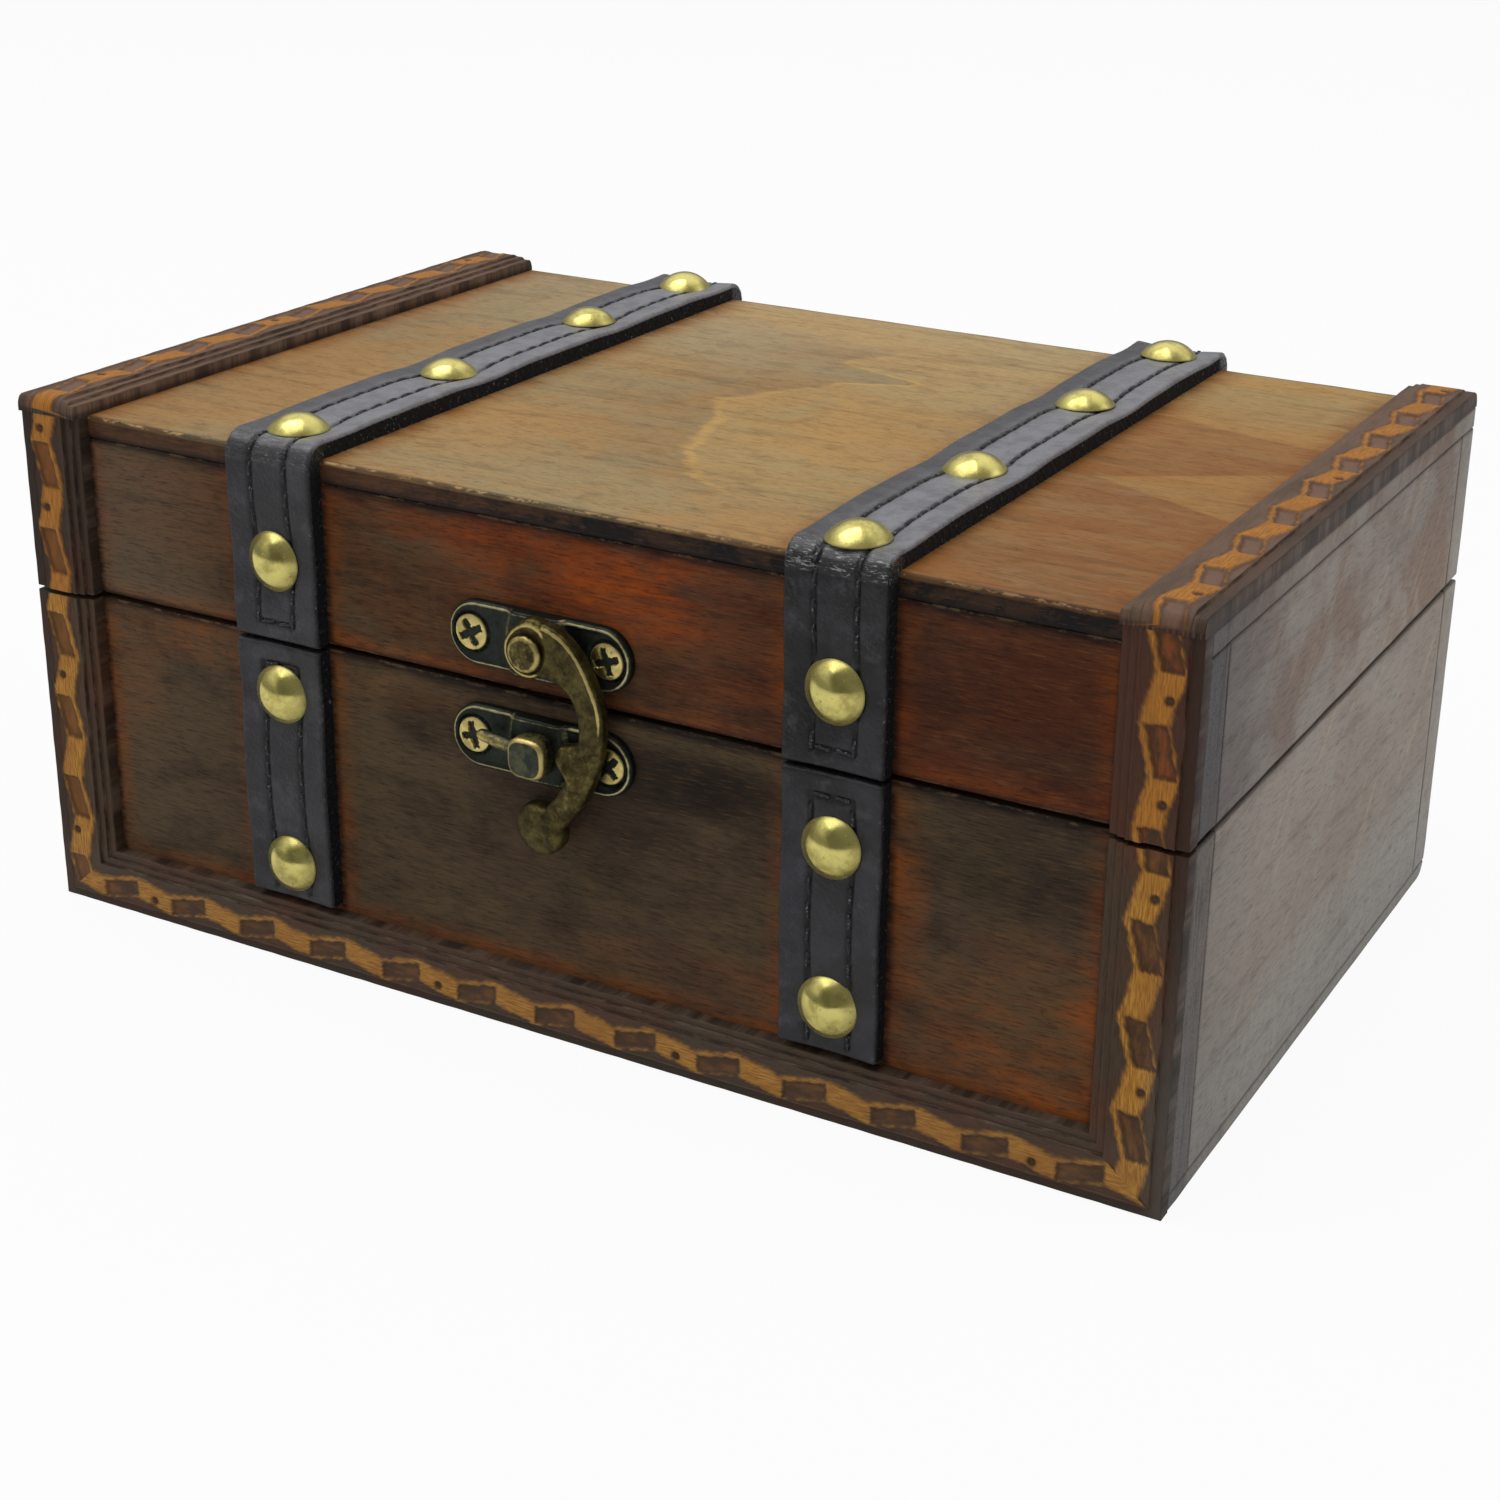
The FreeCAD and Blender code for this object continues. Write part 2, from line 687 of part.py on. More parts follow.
def base_pieces():
    side_strips = base_side_strips()
    bottom_strip = base_bottom_strip()
    strips = [*side_strips.values(), bottom_strip]
    spots = [spot for side in strap_middles for spot in base_tack_spots(side)]
    tack_holes = shank_holes(spots, tack_shank_radius, strap_thickness + nail_bite)
    pin_holes = [hole for strip in strips for hole in strip["holes"]]
    screw_holes = plate_screw_holes(catch_height) + hinge_screw_holes(-1)
    pieces = base_panels(tack_holes + pin_holes + screw_holes)
    for side, strip in side_strips.items():
        pieces["base_" + side + "_strip"] = strip["bar"]
    pieces["base_bottom_strip"] = bottom_strip["bar"]
    pieces["base_strip_pins"] = Part.makeCompound([pin for strip in strips for pin in strip["pins"]])
    for side, middle in strap_middles.items():
        pieces["base_" + side + "_strap"] = base_strap(middle).cut(tack_holes)
    tacks = [aimed(dome_tack(), point, normal) for point, normal in spots]
    pieces["base_strap_tacks"] = Part.makeCompound(tacks)
    pieces["catch_plate"] = plate(catch_height)
    pieces["catch_stud"] = catch_stud()
    pieces["catch_plate_screws"] = Part.makeCompound(plate_screws(catch_height))
    for side, middle in hinge_middles.items():
        pieces[side + "_hinge_base_leaf"] = hinge_leaf(middle, -1)
        pieces[side + "_hinge_pin"] = hinge_pin(middle)
    pieces["hinge_base_screws"] = Part.makeCompound(hinge_screws(-1))
    return pieces


# Lid

def lid_panels(holes):
    """Thin top laid over four walls, the end walls standing between front and back."""
    corners = rectangle(front_face, back_face, lid_bottom, top_face)
    corners[2] = (back_face, top_face, top_edge_round)
    corners[3] = (front_face, top_face, top_edge_round)
    rounded = prism(corners, in_yz, right * chest_length).translated(right * -half_length)
    inner_front = front_face + wall_thickness
    inner_back = back_face - wall_thickness
    end_panel = block(half_length - wall_thickness, half_length, inner_front, inner_back,
                      lid_bottom, frame_top)
    panels = {
        "lid_top_panel": block(-half_length, half_length, front_face, back_face, frame_top, top_face),
        "lid_front_panel": block(-half_length, half_length, front_face, inner_front, lid_bottom, frame_top),
        "lid_back_panel": block(-half_length, half_length, inner_back, back_face, lid_bottom, frame_top),
        "lid_right_end_panel": end_panel,
        "lid_left_end_panel": mirrored(end_panel),
    }
    return {name: panel.common(rounded).cut(holes) for name, panel in panels.items()}


def lid_pieces():
    side_strips = lid_side_strips()
    top_strips = lid_top_strips()
    strips = [*side_strips.values(), *top_strips.values()]
    spots = [spot for side in strap_middles for spot in lid_tack_spots(side)]
    tack_holes = shank_holes(spots, tack_shank_radius, strap_thickness + nail_bite)
    pin_holes = [hole for strip in strips for hole in strip["holes"]]
    screw_holes = plate_screw_holes(latch_height) + hinge_screw_holes(1)
    pieces = lid_panels(tack_holes + pin_holes + screw_holes)
    for side, strip in side_strips.items():
        pieces["lid_" + side + "_strip"] = strip["bar"]
    for side, strip in top_strips.items():
        pieces["lid_top_" + side + "_strip"] = strip["bar"]
    pieces["lid_strip_pins"] = Part.makeCompound([pin for strip in strips for pin in strip["pins"]])
    for side, middle in strap_middles.items():
        pieces["lid_" + side + "_strap"] = lid_strap(middle).cut(tack_holes)
    tacks = [aimed(dome_tack(), point, normal) for point, normal in spots]
    pieces["lid_strap_tacks"] = Part.makeCompound(tacks)
    pieces["latch_plate"] = plate(latch_height)
    pieces["latch_rivet"] = latch_rivet()
    pieces["latch_plate_screws"] = Part.makeCompound(plate_screws(latch_height))
    for side, middle in hinge_middles.items():
        pieces[side + "_hinge_lid_leaf"] = hinge_leaf(middle, 1)
    pieces["hinge_lid_screws"] = Part.makeCompound(hinge_screws(1))
    return pieces


# Every piece in its own file

def single(shape):
    """The one solid in a shape, or a compound where the piece is a set of like fasteners."""
    if len(shape.Solids) == 1:
        return shape.Solids[0]
    return Part.makeCompound(shape.Solids)


os.makedirs("parts", exist_ok=True)
chest = {**base_pieces(), **lid_pieces(), "latch_hook": latch_hook()}
for name, shape in chest.items():
    single(shape).exportStep("parts/" + name + ".step")
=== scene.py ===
import math
from collections import namedtuple
from functools import partialmethod

import bmesh
import bpy
import numpy as np
from mathutils import Matrix, Vector


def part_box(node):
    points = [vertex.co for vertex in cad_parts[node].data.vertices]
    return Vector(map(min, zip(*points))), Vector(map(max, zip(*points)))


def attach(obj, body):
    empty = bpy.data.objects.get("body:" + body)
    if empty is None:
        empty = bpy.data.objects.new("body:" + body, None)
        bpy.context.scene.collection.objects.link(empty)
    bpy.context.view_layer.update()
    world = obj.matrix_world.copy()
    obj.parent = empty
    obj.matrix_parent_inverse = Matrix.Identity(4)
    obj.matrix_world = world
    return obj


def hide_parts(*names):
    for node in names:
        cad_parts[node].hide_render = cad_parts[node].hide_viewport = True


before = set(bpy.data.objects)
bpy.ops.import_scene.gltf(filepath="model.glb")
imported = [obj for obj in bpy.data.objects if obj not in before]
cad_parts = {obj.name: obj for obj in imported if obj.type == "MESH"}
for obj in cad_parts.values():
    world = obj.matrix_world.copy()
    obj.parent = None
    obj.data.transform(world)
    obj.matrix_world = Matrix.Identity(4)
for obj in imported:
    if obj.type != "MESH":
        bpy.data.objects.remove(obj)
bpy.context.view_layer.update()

# Sizes in millimetres. The axes are those of the solids: X right, Y to the back, Z up.
mm = 0.001
weld_gap = 0.002

# Boards
board_grid = 9.0
board_edge_round = 0.45
edge_wander = 0.5  # share by which the edge radius wavers
edge_wander_length = 23.0
edge_wear = 0.7  # reach of the wear beside an edge
lower_back_round = 4.0
top_edge_round = 1.0

# Carved strips
strip_width = 13.0
bottom_strip_width = 11.5
strip_thickness = 3.6
outer_step = 2.1
inner_step = 1.5
step_depth = 0.6
step_slope = 0.2  # width over which a step rises
strip_edge_round = 0.3
front_end_flat = 1.0  # square part below the rounded ends of the strips on the top
back_end_flat = 0.2
ornament_width = 7.4
ornament_period = 16.4
recess_length = 8.0
recess_width = 3.3
recess_slant = 2.0
recess_shift = 0.5
recess_depth = 0.5
recess_edge = 0.9  # width over which the recess gets deep
ribbon_width = 5.1
ribbon_swing = 2.1
ribbon_shift = 0.1
ribbon_edge = 0.7
field_depth = 0.22  # dark fields beside the ribbon lie this much lower
slow_wobble = 0.2  # how far the edges of ribbon and recess stray, and over what length
slow_wobble_length = 5.3
quick_wobble = 0.14
quick_wobble_length = 1.7
strip_wave = 0.05
strip_wave_length = 11.0
strip_apart = 400.0  # shift of the fibres from one strip to the next
pin_radius = 0.6
pin_length = 1.2
pin_inset = 4.6  # from the outer edge
pin_pit_radius = 1.1
pin_pit_depth = 0.35
pin_spacing = 52.0
pin_field = 4.0  # shortest plain field that takes a pin
first_recess = {
    "base_right": 9.5, "base_left": 3.7, "base_bottom": 10.6, "lid_right": 10.8,
    "lid_left": 5.3, "lid_top_right": 13.0, "lid_top_left": 0.3,
}

# Leather straps
strap_thickness = 3.6
strap_cup = 0.35  # the middle of a strap lies this much lower than its edges
strap_swell = 0.25  # rise between two tacks
strap_edge_round = 0.7
strap_end_round = 0.4
strap_drift = 0.1  # how far the edges of a strap sink in places
strap_drift_length = 31.0
strap_end_gap = 1.0  # hinge leaf to the back end of a lid strap
route_step = 0.45
side_fray = 0.16
dimple_depth = 0.9
dimple_reach = 7.5
seam_offset = 3.75  # middle of the strap to each row of stitches
seam_groove = 0.55
seam_width = 0.55
seam_margin = 0.8  # end of a seam to the end of the strap or past the row across
stitch_length = 3.7
stitch_pitch = 4.4
thread_radius = 0.42
thread_rise = 0.12  # middle of a stitch above the leather
thread_dive = 0.6
cross_row = {"lid": 3.2, "base": 3.9}  # edge of lid or base to the row across the strap
strap_seeds = {"lid": 20, "base": 30}

# Dome tacks
tack_radius = 5.5
tack_height = 3.0
tack_sink = 0.75  # pressed into the leather
front_tacks = {"left": (77.6, 52.8, 19.8), "right": (76.1, 49.6, 21.1)}
top_tacks = {"left": (-62.6, -18.8, 28.9, 66.2), "right": (-64.5, -22.7, 24.4, 66.2)}
back_tack = 85.65
tack_oval = 0.012
tack_dent = 0.015
tack_tilt = 0.045
tack_seed = 50

# Latch and catch
latch_offset = -2.5
latch_height = 72.0
catch_height = 53.4
plate_length = 36.0
plate_height = 11.4
plate_thickness = 1.6
plate_bead = 0.25  # raised rim along the edge
boss_length = 10.5
boss_height = 2.6
boss_slope = 2.4
screw_spacing = 26.8
screw_radius = 3.2
screw_groove = 0.5
screw_dome = 0.35
cross_width = 0.2  # cross of a screw, in shares of the radius
cross_reach = 0.74
cross_depth = 1.0
rivet_radius = 2.2
rivet_head_radius = 3.2
rivet_head_thickness = 0.9
stud_radius = 3.6
stud_length = 3.8
squareness = 3.2  # 2 would be a circle
finger_radius = 1.2
finger_length = 10.0
finger_tilt = math.radians(9.0)
hook_thickness = 2.4
hook_play = 0.2
hook_fit = 0.08
eye_radius = 4.6
arm_start = 2.6  # rivet to the start of the arm
arm_width = 5.2
arm_widest = 12.1  # rivet to the middle of the arm at its widest place
arm_drop = 10.5  # rivet down to that place
arm_web = 1.2  # added to the inner side of the arm where it leaves the eye
shoulder = 1.7  # how far the eye swells towards the outer side of the arm
shoulder_angle = math.radians(68)
shoulder_end = 13.5  # along the arm
shoulder_run = 11.0
pad_right = 1.7
pad_drop = 31.4
pad_radius = 4.8
pad_thickness = 4.2
nub_drop = 18.6
nub_reach = 3.6


def span(node):
    """Lower and upper corner of a solid in millimetres."""
    low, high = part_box(node)
    return np.array(low) / mm, np.array(high) / mm


front_face = float(span("base_front_panel")[0][1])
back_face = float(span("base_back_panel")[1][1])
top_face = float(span("lid_top_panel")[1][2])
top_under = float(span("lid_top_panel")[0][2])
lid_bottom = float(span("lid_front_panel")[0][2])
base_height = float(span("base_front_panel")[1][2])
half_length = float(span("base_front_panel")[1][0])
strip_front = front_face - strip_thickness
strap_front = front_face - strap_thickness
strap_back = back_face + strap_thickness
strap_top = top_face + strap_thickness
strap_spans = {side: span("base_" + side + "_strap") for side in ("left", "right")}
strap_middles = {side: float(low[0] + high[0]) / 2 for side, (low, high) in strap_spans.items()}
half_strap = float(strap_spans["left"][1][0] - strap_spans["left"][0][0]) / 2
base_strap_end = float(strap_spans["left"][0][2])
back_strap_end = float(span("left_hinge_lid_leaf")[1][2]) + strap_end_gap

right = (1, 0, 0)
left = (-1, 0, 0)
to_back = (0, 1, 0)
to_front = (0, -1, 0)
up = (0, 0, 1)
down = (0, 0, -1)


# Surfaces

def ease(value):
    """0 below 0, 1 above 1 and a smooth S between."""
    share = np.clip(value, 0, 1)
    return share * share * (3 - 2 * share)


def hump(value):
    """Bell curve: 1 at 0, about a third at 1 and -1."""
    return np.exp(-np.square(value))


def quarter_drop(distance, radius):
    """How far a rounded edge falls below its flat, at a distance from the edge."""
    inside = np.clip(radius - distance, 0, radius)
    return radius - np.sqrt(radius ** 2 - inside ** 2)


def waver(place, length, seed):
    """Irregular wave of about -1 to 1: three sines of unrelated lengths with seeded phases."""
    phase = np.random.default_rng(seed).uniform(0, 2 * math.pi, 3)
    turns = 2 * math.pi * np.asarray(place, float)[..., None] / (length * np.array([1.0, 0.618, 0.382]))
    return np.sin(turns + phase) @ np.array([0.5, 0.3, 0.2])


def spread(start, end, step, edges=(), near=()):
    """Even places from start to end, with closer ones at the given distances either side of each edge."""
    even = np.linspace(start, end, max(2, round((end - start) / step) + 1))
    both = np.concatenate([np.asarray(near, float), -np.asarray(near, float)])
    close = (np.asarray(edges, float)[:, None] + both).ravel()
    return np.unique(np.round(np.clip(np.concatenate([even, close]), start, end), 4))


def welded(parts):
    """Points, faces and point values of several grids, joined where they meet.

    A part is (points, values, tube): a grid of rows x columns x 3, a dict of rows x columns, and
    whether it is a tube, whose last column runs on into the first and whose ends are closed by a face.
    A quad with two corners on one place becomes a triangle.
    """
    quads, rings, first = [], [], 0
    for points, _, tube in parts:
        rows, columns = points.shape[:2]
        index = first + np.arange(rows * columns).reshape(rows, columns)
        first += rows * columns
        if tube:
            rings += [index[0], index[-1]]
            index = np.concatenate([index, index[:, :1]], axis=1)
        corners = [index[:-1, :-1], index[1:, :-1], index[1:, 1:], index[:-1, 1:]]
        quads.append(np.stack(corners, axis=-1).reshape(-1, 4))
    points = np.concatenate([part[0].reshape(-1, 3) for part in parts])
    keys = np.floor(points / weld_gap + 0.382).astype(np.int64)
    _, kept, place = np.unique(keys, axis=0, return_index=True, return_inverse=True)
    place = place.ravel()
    quads = place[np.concatenate(quads)]
    flat = quads == np.roll(quads, -1, axis=1)
    narrow = flat.sum(axis=1) == 1
    faces = quads[~flat.any(axis=1)].tolist()
    faces += quads[narrow][~flat[narrow]].reshape(-1, 3).tolist()
    for ring in rings:
        ring = place[ring]
        ring = ring[ring != np.roll(ring, 1)]
        if len(ring) > 2:
            faces.append(ring.tolist())
    names = parts[0][1].keys()
    values = {name: np.concatenate([part[1][name].ravel() for part in parts])[kept] for name in names}
    return points[kept], faces, values


def piece(name, parts, body, nodes, finish, crease=38):
    """A welded surface as an object that rides a body and stands for the given solids."""
    points, faces, values = welded(parts)
    mesh = bpy.data.meshes.new(name)
    mesh.from_pydata((points * mm).tolist(), [], faces)
    for key, value in values.items():
        layer = mesh.attributes.new(key, "FLOAT", "POINT")
        layer.data.foreach_set("value", value.astype(np.float32))
    work = bmesh.new()
    work.from_mesh(mesh)
    bmesh.ops.recalc_face_normals(work, faces=work.faces)
    work.to_mesh(mesh)
    work.free()
    mesh.polygons.foreach_set("use_smooth", np.ones(len(mesh.polygons), dtype=bool))
    mesh.set_sharp_from_angle(angle=math.radians(crease))
    mesh.materials.append(finish)
    item = bpy.data.objects.new(name, mesh)
    bpy.context.scene.collection.objects.link(item)
    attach(item, body)
    if nodes:
        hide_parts(*nodes)


def gridded(*axes):
    """Points from the grids, rows or numbers of their axes."""
    return np.stack(np.broadcast_arrays(*axes), axis=-1)


def set_on(points, place, along, across, out):
    """Grid of distances along, across and out, set on a place with those three directions."""
    return np.asarray(place, float) + points @ np.array([along, across, out], float)


def spun(profile, count):
    """Profile of (radius, height) points turned round the third axis."""
    radius, height = np.array(profile, float).T
    angle = np.linspace(0, 2 * math.pi, count, endpoint=False)
    return gridded(radius[:, None] * np.cos(angle), radius[:, None] * np.sin(angle), height[:, None])


def polar(points):
    """Radius and angle of each point round the third axis."""
    return np.hypot(points[..., 0], points[..., 1]), np.arctan2(points[..., 1], points[..., 0])


def footed(face, floor=0.0):
    """A grid of heights with a point on the floor below each end of its rows."""
    foot = face * (1, 1, 0) + (0, 0, floor)
    return np.concatenate([foot[:, :1], face, foot[:, -1:]], axis=1)


# Shader nodes

def paint(red, green, blue):
    """A colour given as 0 to 255 on a screen, in linear values."""
    channel = np.array([red, green, blue]) / 255
    linear = np.where(channel <= 0.04045, channel / 12.92, ((channel + 0.055) / 1.055) ** 2.4)
    return (*linear.tolist(), 1.0)


class Value:
    """A socket of a node tree. Sums and products of values add Math nodes."""

    def __init__(self, nodes, socket):
        self.nodes = nodes
        self.socket = socket

    def math(self, operation, other=0.0):
        return self.nodes.node("ShaderNodeMath", {"operation": operation}, {0: self, 1: other})

    def __rsub__(self, other):
        return self.nodes.node("ShaderNodeMath", {"operation": "SUBTRACT"}, {0: other, 1: self})

    __add__ = __radd__ = partialmethod(math, "ADD")
    __sub__ = partialmethod(math, "SUBTRACT")
    __mul__ = __rmul__ = partialmethod(math, "MULTIPLY")
    __truediv__ = partialmethod(math, "DIVIDE")
    __pow__ = partialmethod(math, "POWER")
    __abs__ = partialmethod(math, "ABSOLUTE")
    least = partialmethod(math, "MINIMUM")
    most = partialmethod(math, "MAXIMUM")

    def rise(self, low, high):
        """0 at low, 1 at high and a smooth S between."""
        return self.nodes.node("ShaderNodeMapRange", {"interpolation_type": "SMOOTHSTEP"},
                               {0: self, 1: low, 2: high})

    def fall(self, low, high):
        """1 at low, 0 at high and a smooth S between."""
        return 1 - self.rise(low, high)


class Nodes:
    """The nodes of a material or of the world."""

    def __init__(self, tree):
        self.tree = tree
        tree.nodes.clear()

    def node(self, kind, settings, inputs, output=0):
        made = self.tree.nodes.new(kind)
        for name, value in settings.items():
            setattr(made, name, value)
        for name, value in inputs.items():
            if isinstance(value, Value):
                self.tree.links.new(value.socket, made.inputs[name])
            else:
                made.inputs[name].default_value = value
        return Value(self, made.outputs[output]) if made.outputs else None

    def mix(self, share, first, second):
        return self.node("ShaderNodeMix", {"data_type": "RGBA"}, {0: share, 6: first, 7: second}, 2)

    def coated(self, colour, *coats):
        """A colour under coats of (share, colour), each laid over the ones before it."""
        for share, coat in coats:
            colour = self.mix(share, colour, coat)
        return colour

    def stretched(self, vector, scale):
        return self.node("ShaderNodeVectorMath", {"operation": "MULTIPLY"}, {0: vector, 1: scale})

    def noise(self, place, size, detail=3.0, roughness=0.55, warp=0.0):
        inputs = {"Vector": place, "Scale": 1 / size, "Detail": detail, "Roughness": roughness,
                  "Distortion": warp}
        return self.node("ShaderNodeTexNoise", {}, inputs)

    def cells(self, place, size):
        return self.node("ShaderNodeTexVoronoi", {}, {"Vector": place, "Scale": 1 / size})

    def drawn(self, name):
        """A point value of the piece."""
        return self.node("ShaderNodeAttribute", {"attribute_name": name}, {}, "Fac")

    def joined(self, x, y, z):
        return self.node("ShaderNodeCombineXYZ", {}, {0: x, 1: y, 2: z})


class Finish(Nodes):
    """A material. Its place is the position on the piece in millimetres."""

    def __init__(self, name):
        self.material = bpy.data.materials.new(name)
        self.material.use_nodes = True
        super().__init__(self.material.node_tree)
        self.place = self.stretched(self.node("ShaderNodeTexCoord", {}, {}, "Object"), (1000, 1000, 1000))
        self.x, self.y, self.z = [self.node("ShaderNodeSeparateXYZ", {}, {0: self.place}, axis)
                                  for axis in range(3)]

    def streaks(self, stretch, size, *kind):
        """Noise at the place, drawn out along the axes that the stretch shrinks."""
        return self.noise(self.stretched(self.place, stretch), size, *kind)

    def surface(self, colour, roughness, height, **constants):
        """Principled surface; the height in millimetres gives the bump."""
        bump = self.node("ShaderNodeBump", {}, {"Distance": mm, "Height": height})
        inputs = {"Base Color": colour, "Roughness": roughness, "Normal": bump}
        inputs.update({name.replace("_", " "): value for name, value in constants.items()})
        shader = self.node("ShaderNodeBsdfPrincipled", {}, inputs)
        self.node("ShaderNodeOutputMaterial", {}, {"Surface": shader})
        return self.material


# Wood finishes

# A noise is given by its size in millimetres, detail, roughness and warp. rise and fall give the range over
# which a coat comes or goes, and the last factor of a coat is its strength.

brown_stain = paint(90, 60, 38)
olive_stain = paint(88, 73, 53)
mahogany_stain = paint(84, 36, 22)
red_stain = paint(142, 62, 20)
orange_stain = paint(176, 88, 22)
amber_stain = paint(126, 76, 42)
dull_stain = paint(82, 66, 52)
hazy_stain = paint(128, 112, 97)
black_stain = paint(26, 22, 22)
pale_wood = paint(190, 156, 108)
inner_wood = paint(126, 88, 52)
inner_dark = paint(96, 62, 36)
golden_top = paint(177, 137, 84)
olive_top = paint(164, 141, 99)
pale_top = paint(206, 164, 92)
rusty_top = paint(138, 82, 32)
faded_top = paint(190, 176, 144)
# The pale grey base and the bluish grey of the ends are painted sheen; plain_end is their brown stain without
# it
sheen_grey_end = paint(156, 146, 135)
pale_end = paint(188, 170, 142)
brown_end = paint(132, 106, 88)
sheen_blue_end = paint(168, 167, 163)
slate_end = paint(92, 90, 92)
plain_end = paint(108, 76, 52)

# Veneer of the top: (y, x) along its growth line, the tip and the slopes of the pale tongue, and the slanted
# line behind which it is paler
growth_line = ((-48, 20), (-42, 11), (-35, 6), (-27, 1), (-13, -2), (1, -9), (8, -4), (22, 4), (30, 17),
               (37, -1), (49, 4))
tongue_tip_x = 69
tongue_tip_y = -7
tongue_front_slope = 0.43
tongue_back_slope = 0.64
back_field_start = 50
back_field_slope = 0.234
line_wander = 5


def drawn_out(along, share):
    """Stretch that draws a pattern out along one axis."""
    return tuple(share if axis == along else 1 for axis in "xyz")


def grain(f, along):
    """Fibres, broad bands and pores, drawn out along one axis."""
    stretch = drawn_out(along, 0.1)
    fibre = f.streaks(stretch, 0.42, 4, 0.7)
    band = f.streaks(stretch, 3.5, 4, 0.6, 0.4)
    pore = f.streaks(stretch, 0.24, 2).rise(0.62, 0.72)
    return fibre, band, pore


def depth(f):
    """Distance from the outside of the chest."""
    ends = (half_length - abs(f.x)).least(f.y - front_face).least(back_face - f.y)
    return ends.least(top_face - f.z).least(f.z)


def spot(f, patch):
    """1 at the middle of a patch of the front and 0 outside its oval."""
    away = ((f.x - patch.x) / patch.wide) ** 2 + ((f.z - patch.z) / patch.high) ** 2
    return away.fall(0.0, 1.0)


def course(a, places):
    """A line that wanders: the second value of the places as the first runs along an axis, eased between."""
    total = places[0][1]
    for (start, before), (end, after) in zip(places, places[1:]):
        total = a.rise(start, end) * (after - before) + total
    return total


def seep(a, edges, reach):
    """1 along edges given by their places on an axis, falling to 0 at a reach from the nearest."""
    gap = abs(a - edges[0])
    for edge in edges[1:]:
        gap = gap.least(abs(a - edge))
    return gap.fall(0.0, reach)


def trim_edges():
    """Places along the length where straps and end strips meet the boards."""
    edges = [middle + side * half_strap for middle in strap_middles.values() for side in (-1, 1)]
    return edges + [half_length - strip_width, strip_width - half_length]


def end_colour(f):
    """Stain of the ends under a pale grey that is painted sheen: brown clouds and slanted pale streaks,
    darker on the lid, a bluish painted sheen at the foot and the back edge, plain brown without the sheen on
    the left end, and dark where the ends of the front boards show."""
    cloud = f.noise(f.place, 22, 4, 0.55, 0.5)
    slant = f.noise(f.joined(f.x, (f.y + f.z) * 0.1, f.y - f.z), 3.5, 3, 0.6)
    upright = f.streaks((1, 1, 0.06), 0.7, 4, 0.65)
    on_lid = f.z.rise(base_height - 1, lid_bottom + 1)
    lid_shade = 0.4 * f.y.fall(-60, 30) + 0.3 * f.z.rise(68, 88) * f.y.rise(-20, 40)
    corner = ((back_face - f.y).fall(2, 10) * 0.5).most(f.z.fall(6, 34))
    behind = f.y - front_face
    board_end = behind.fall(6.5, 9.0)
    return f.coated(
        # pale grey base: painted sheen
        sheen_grey_end,
        (cloud.rise(0.38, 0.62) * (0.25 + 0.65 * on_lid), brown_end),
        (slant.rise(0.54, 0.72) * 0.4, pale_end),
        (on_lid * lid_shade, slate_end),
        # bluish grey at the foot and the back edge: painted sheen
        (corner * (0.6 + 0.4 * upright.rise(0.4, 0.6)) * 0.85, sheen_blue_end),
        # plain brown on the left, without the painted sheen
        (f.x.fall(20, 100) * (0.65 + 0.2 * cloud.rise(0.4, 0.6)), plain_end),
        (behind.fall(6, 40) * (0.3 + 0.3 * on_lid), slate_end),
        (board_end * (0.55 + 0.25 * on_lid), slate_end),
        (board_end * upright.rise(0.5, 0.66) * 0.4, black_stain),
    )


def worn_board(f, colour, along, bare, gloss, fibres=0.5):
    """A board with the given colour outside: ends greyed by painted sheen, dark bands, fibres and pores, a
    lighter inside, and dark edges that are bare in places."""
    fibre, band, pore = grain(f, along)
    worn = f.streaks((0.3, 0.4, 1), 1.5, 5, 0.75)
    at_end = abs(f.x).rise(half_length - 0.6, half_length - 0.2)
    edge = f.drawn("edge") * (1 - 0.55 * at_end)
    colour = f.coated(
        colour,
        (at_end, end_colour(f)),
        (band.rise(0.5, 0.72) * 0.25, black_stain),
        (fibre.fall(0.32, 0.46) * 0.25, inner_wood),
        (fibre.rise(0.47, 0.7) * fibres, black_stain),
        (depth(f).rise(1.6, 2.4), f.mix(band.rise(0.3, 0.7), inner_wood, inner_dark)),
        (pore * fibres, black_stain),
        (edge.rise(0.1, 0.6) * 0.7, black_stain),
        (edge.rise(0.35, 0.8) * worn.rise(0.48, 0.58) * bare, pale_wood),
    )
    height = 0.06 * fibre - 0.06 * pore - 0.2 * edge * worn
    return f.surface(colour, 0.4 + 0.25 * fibre, height, Specular_IOR_Level=gloss)


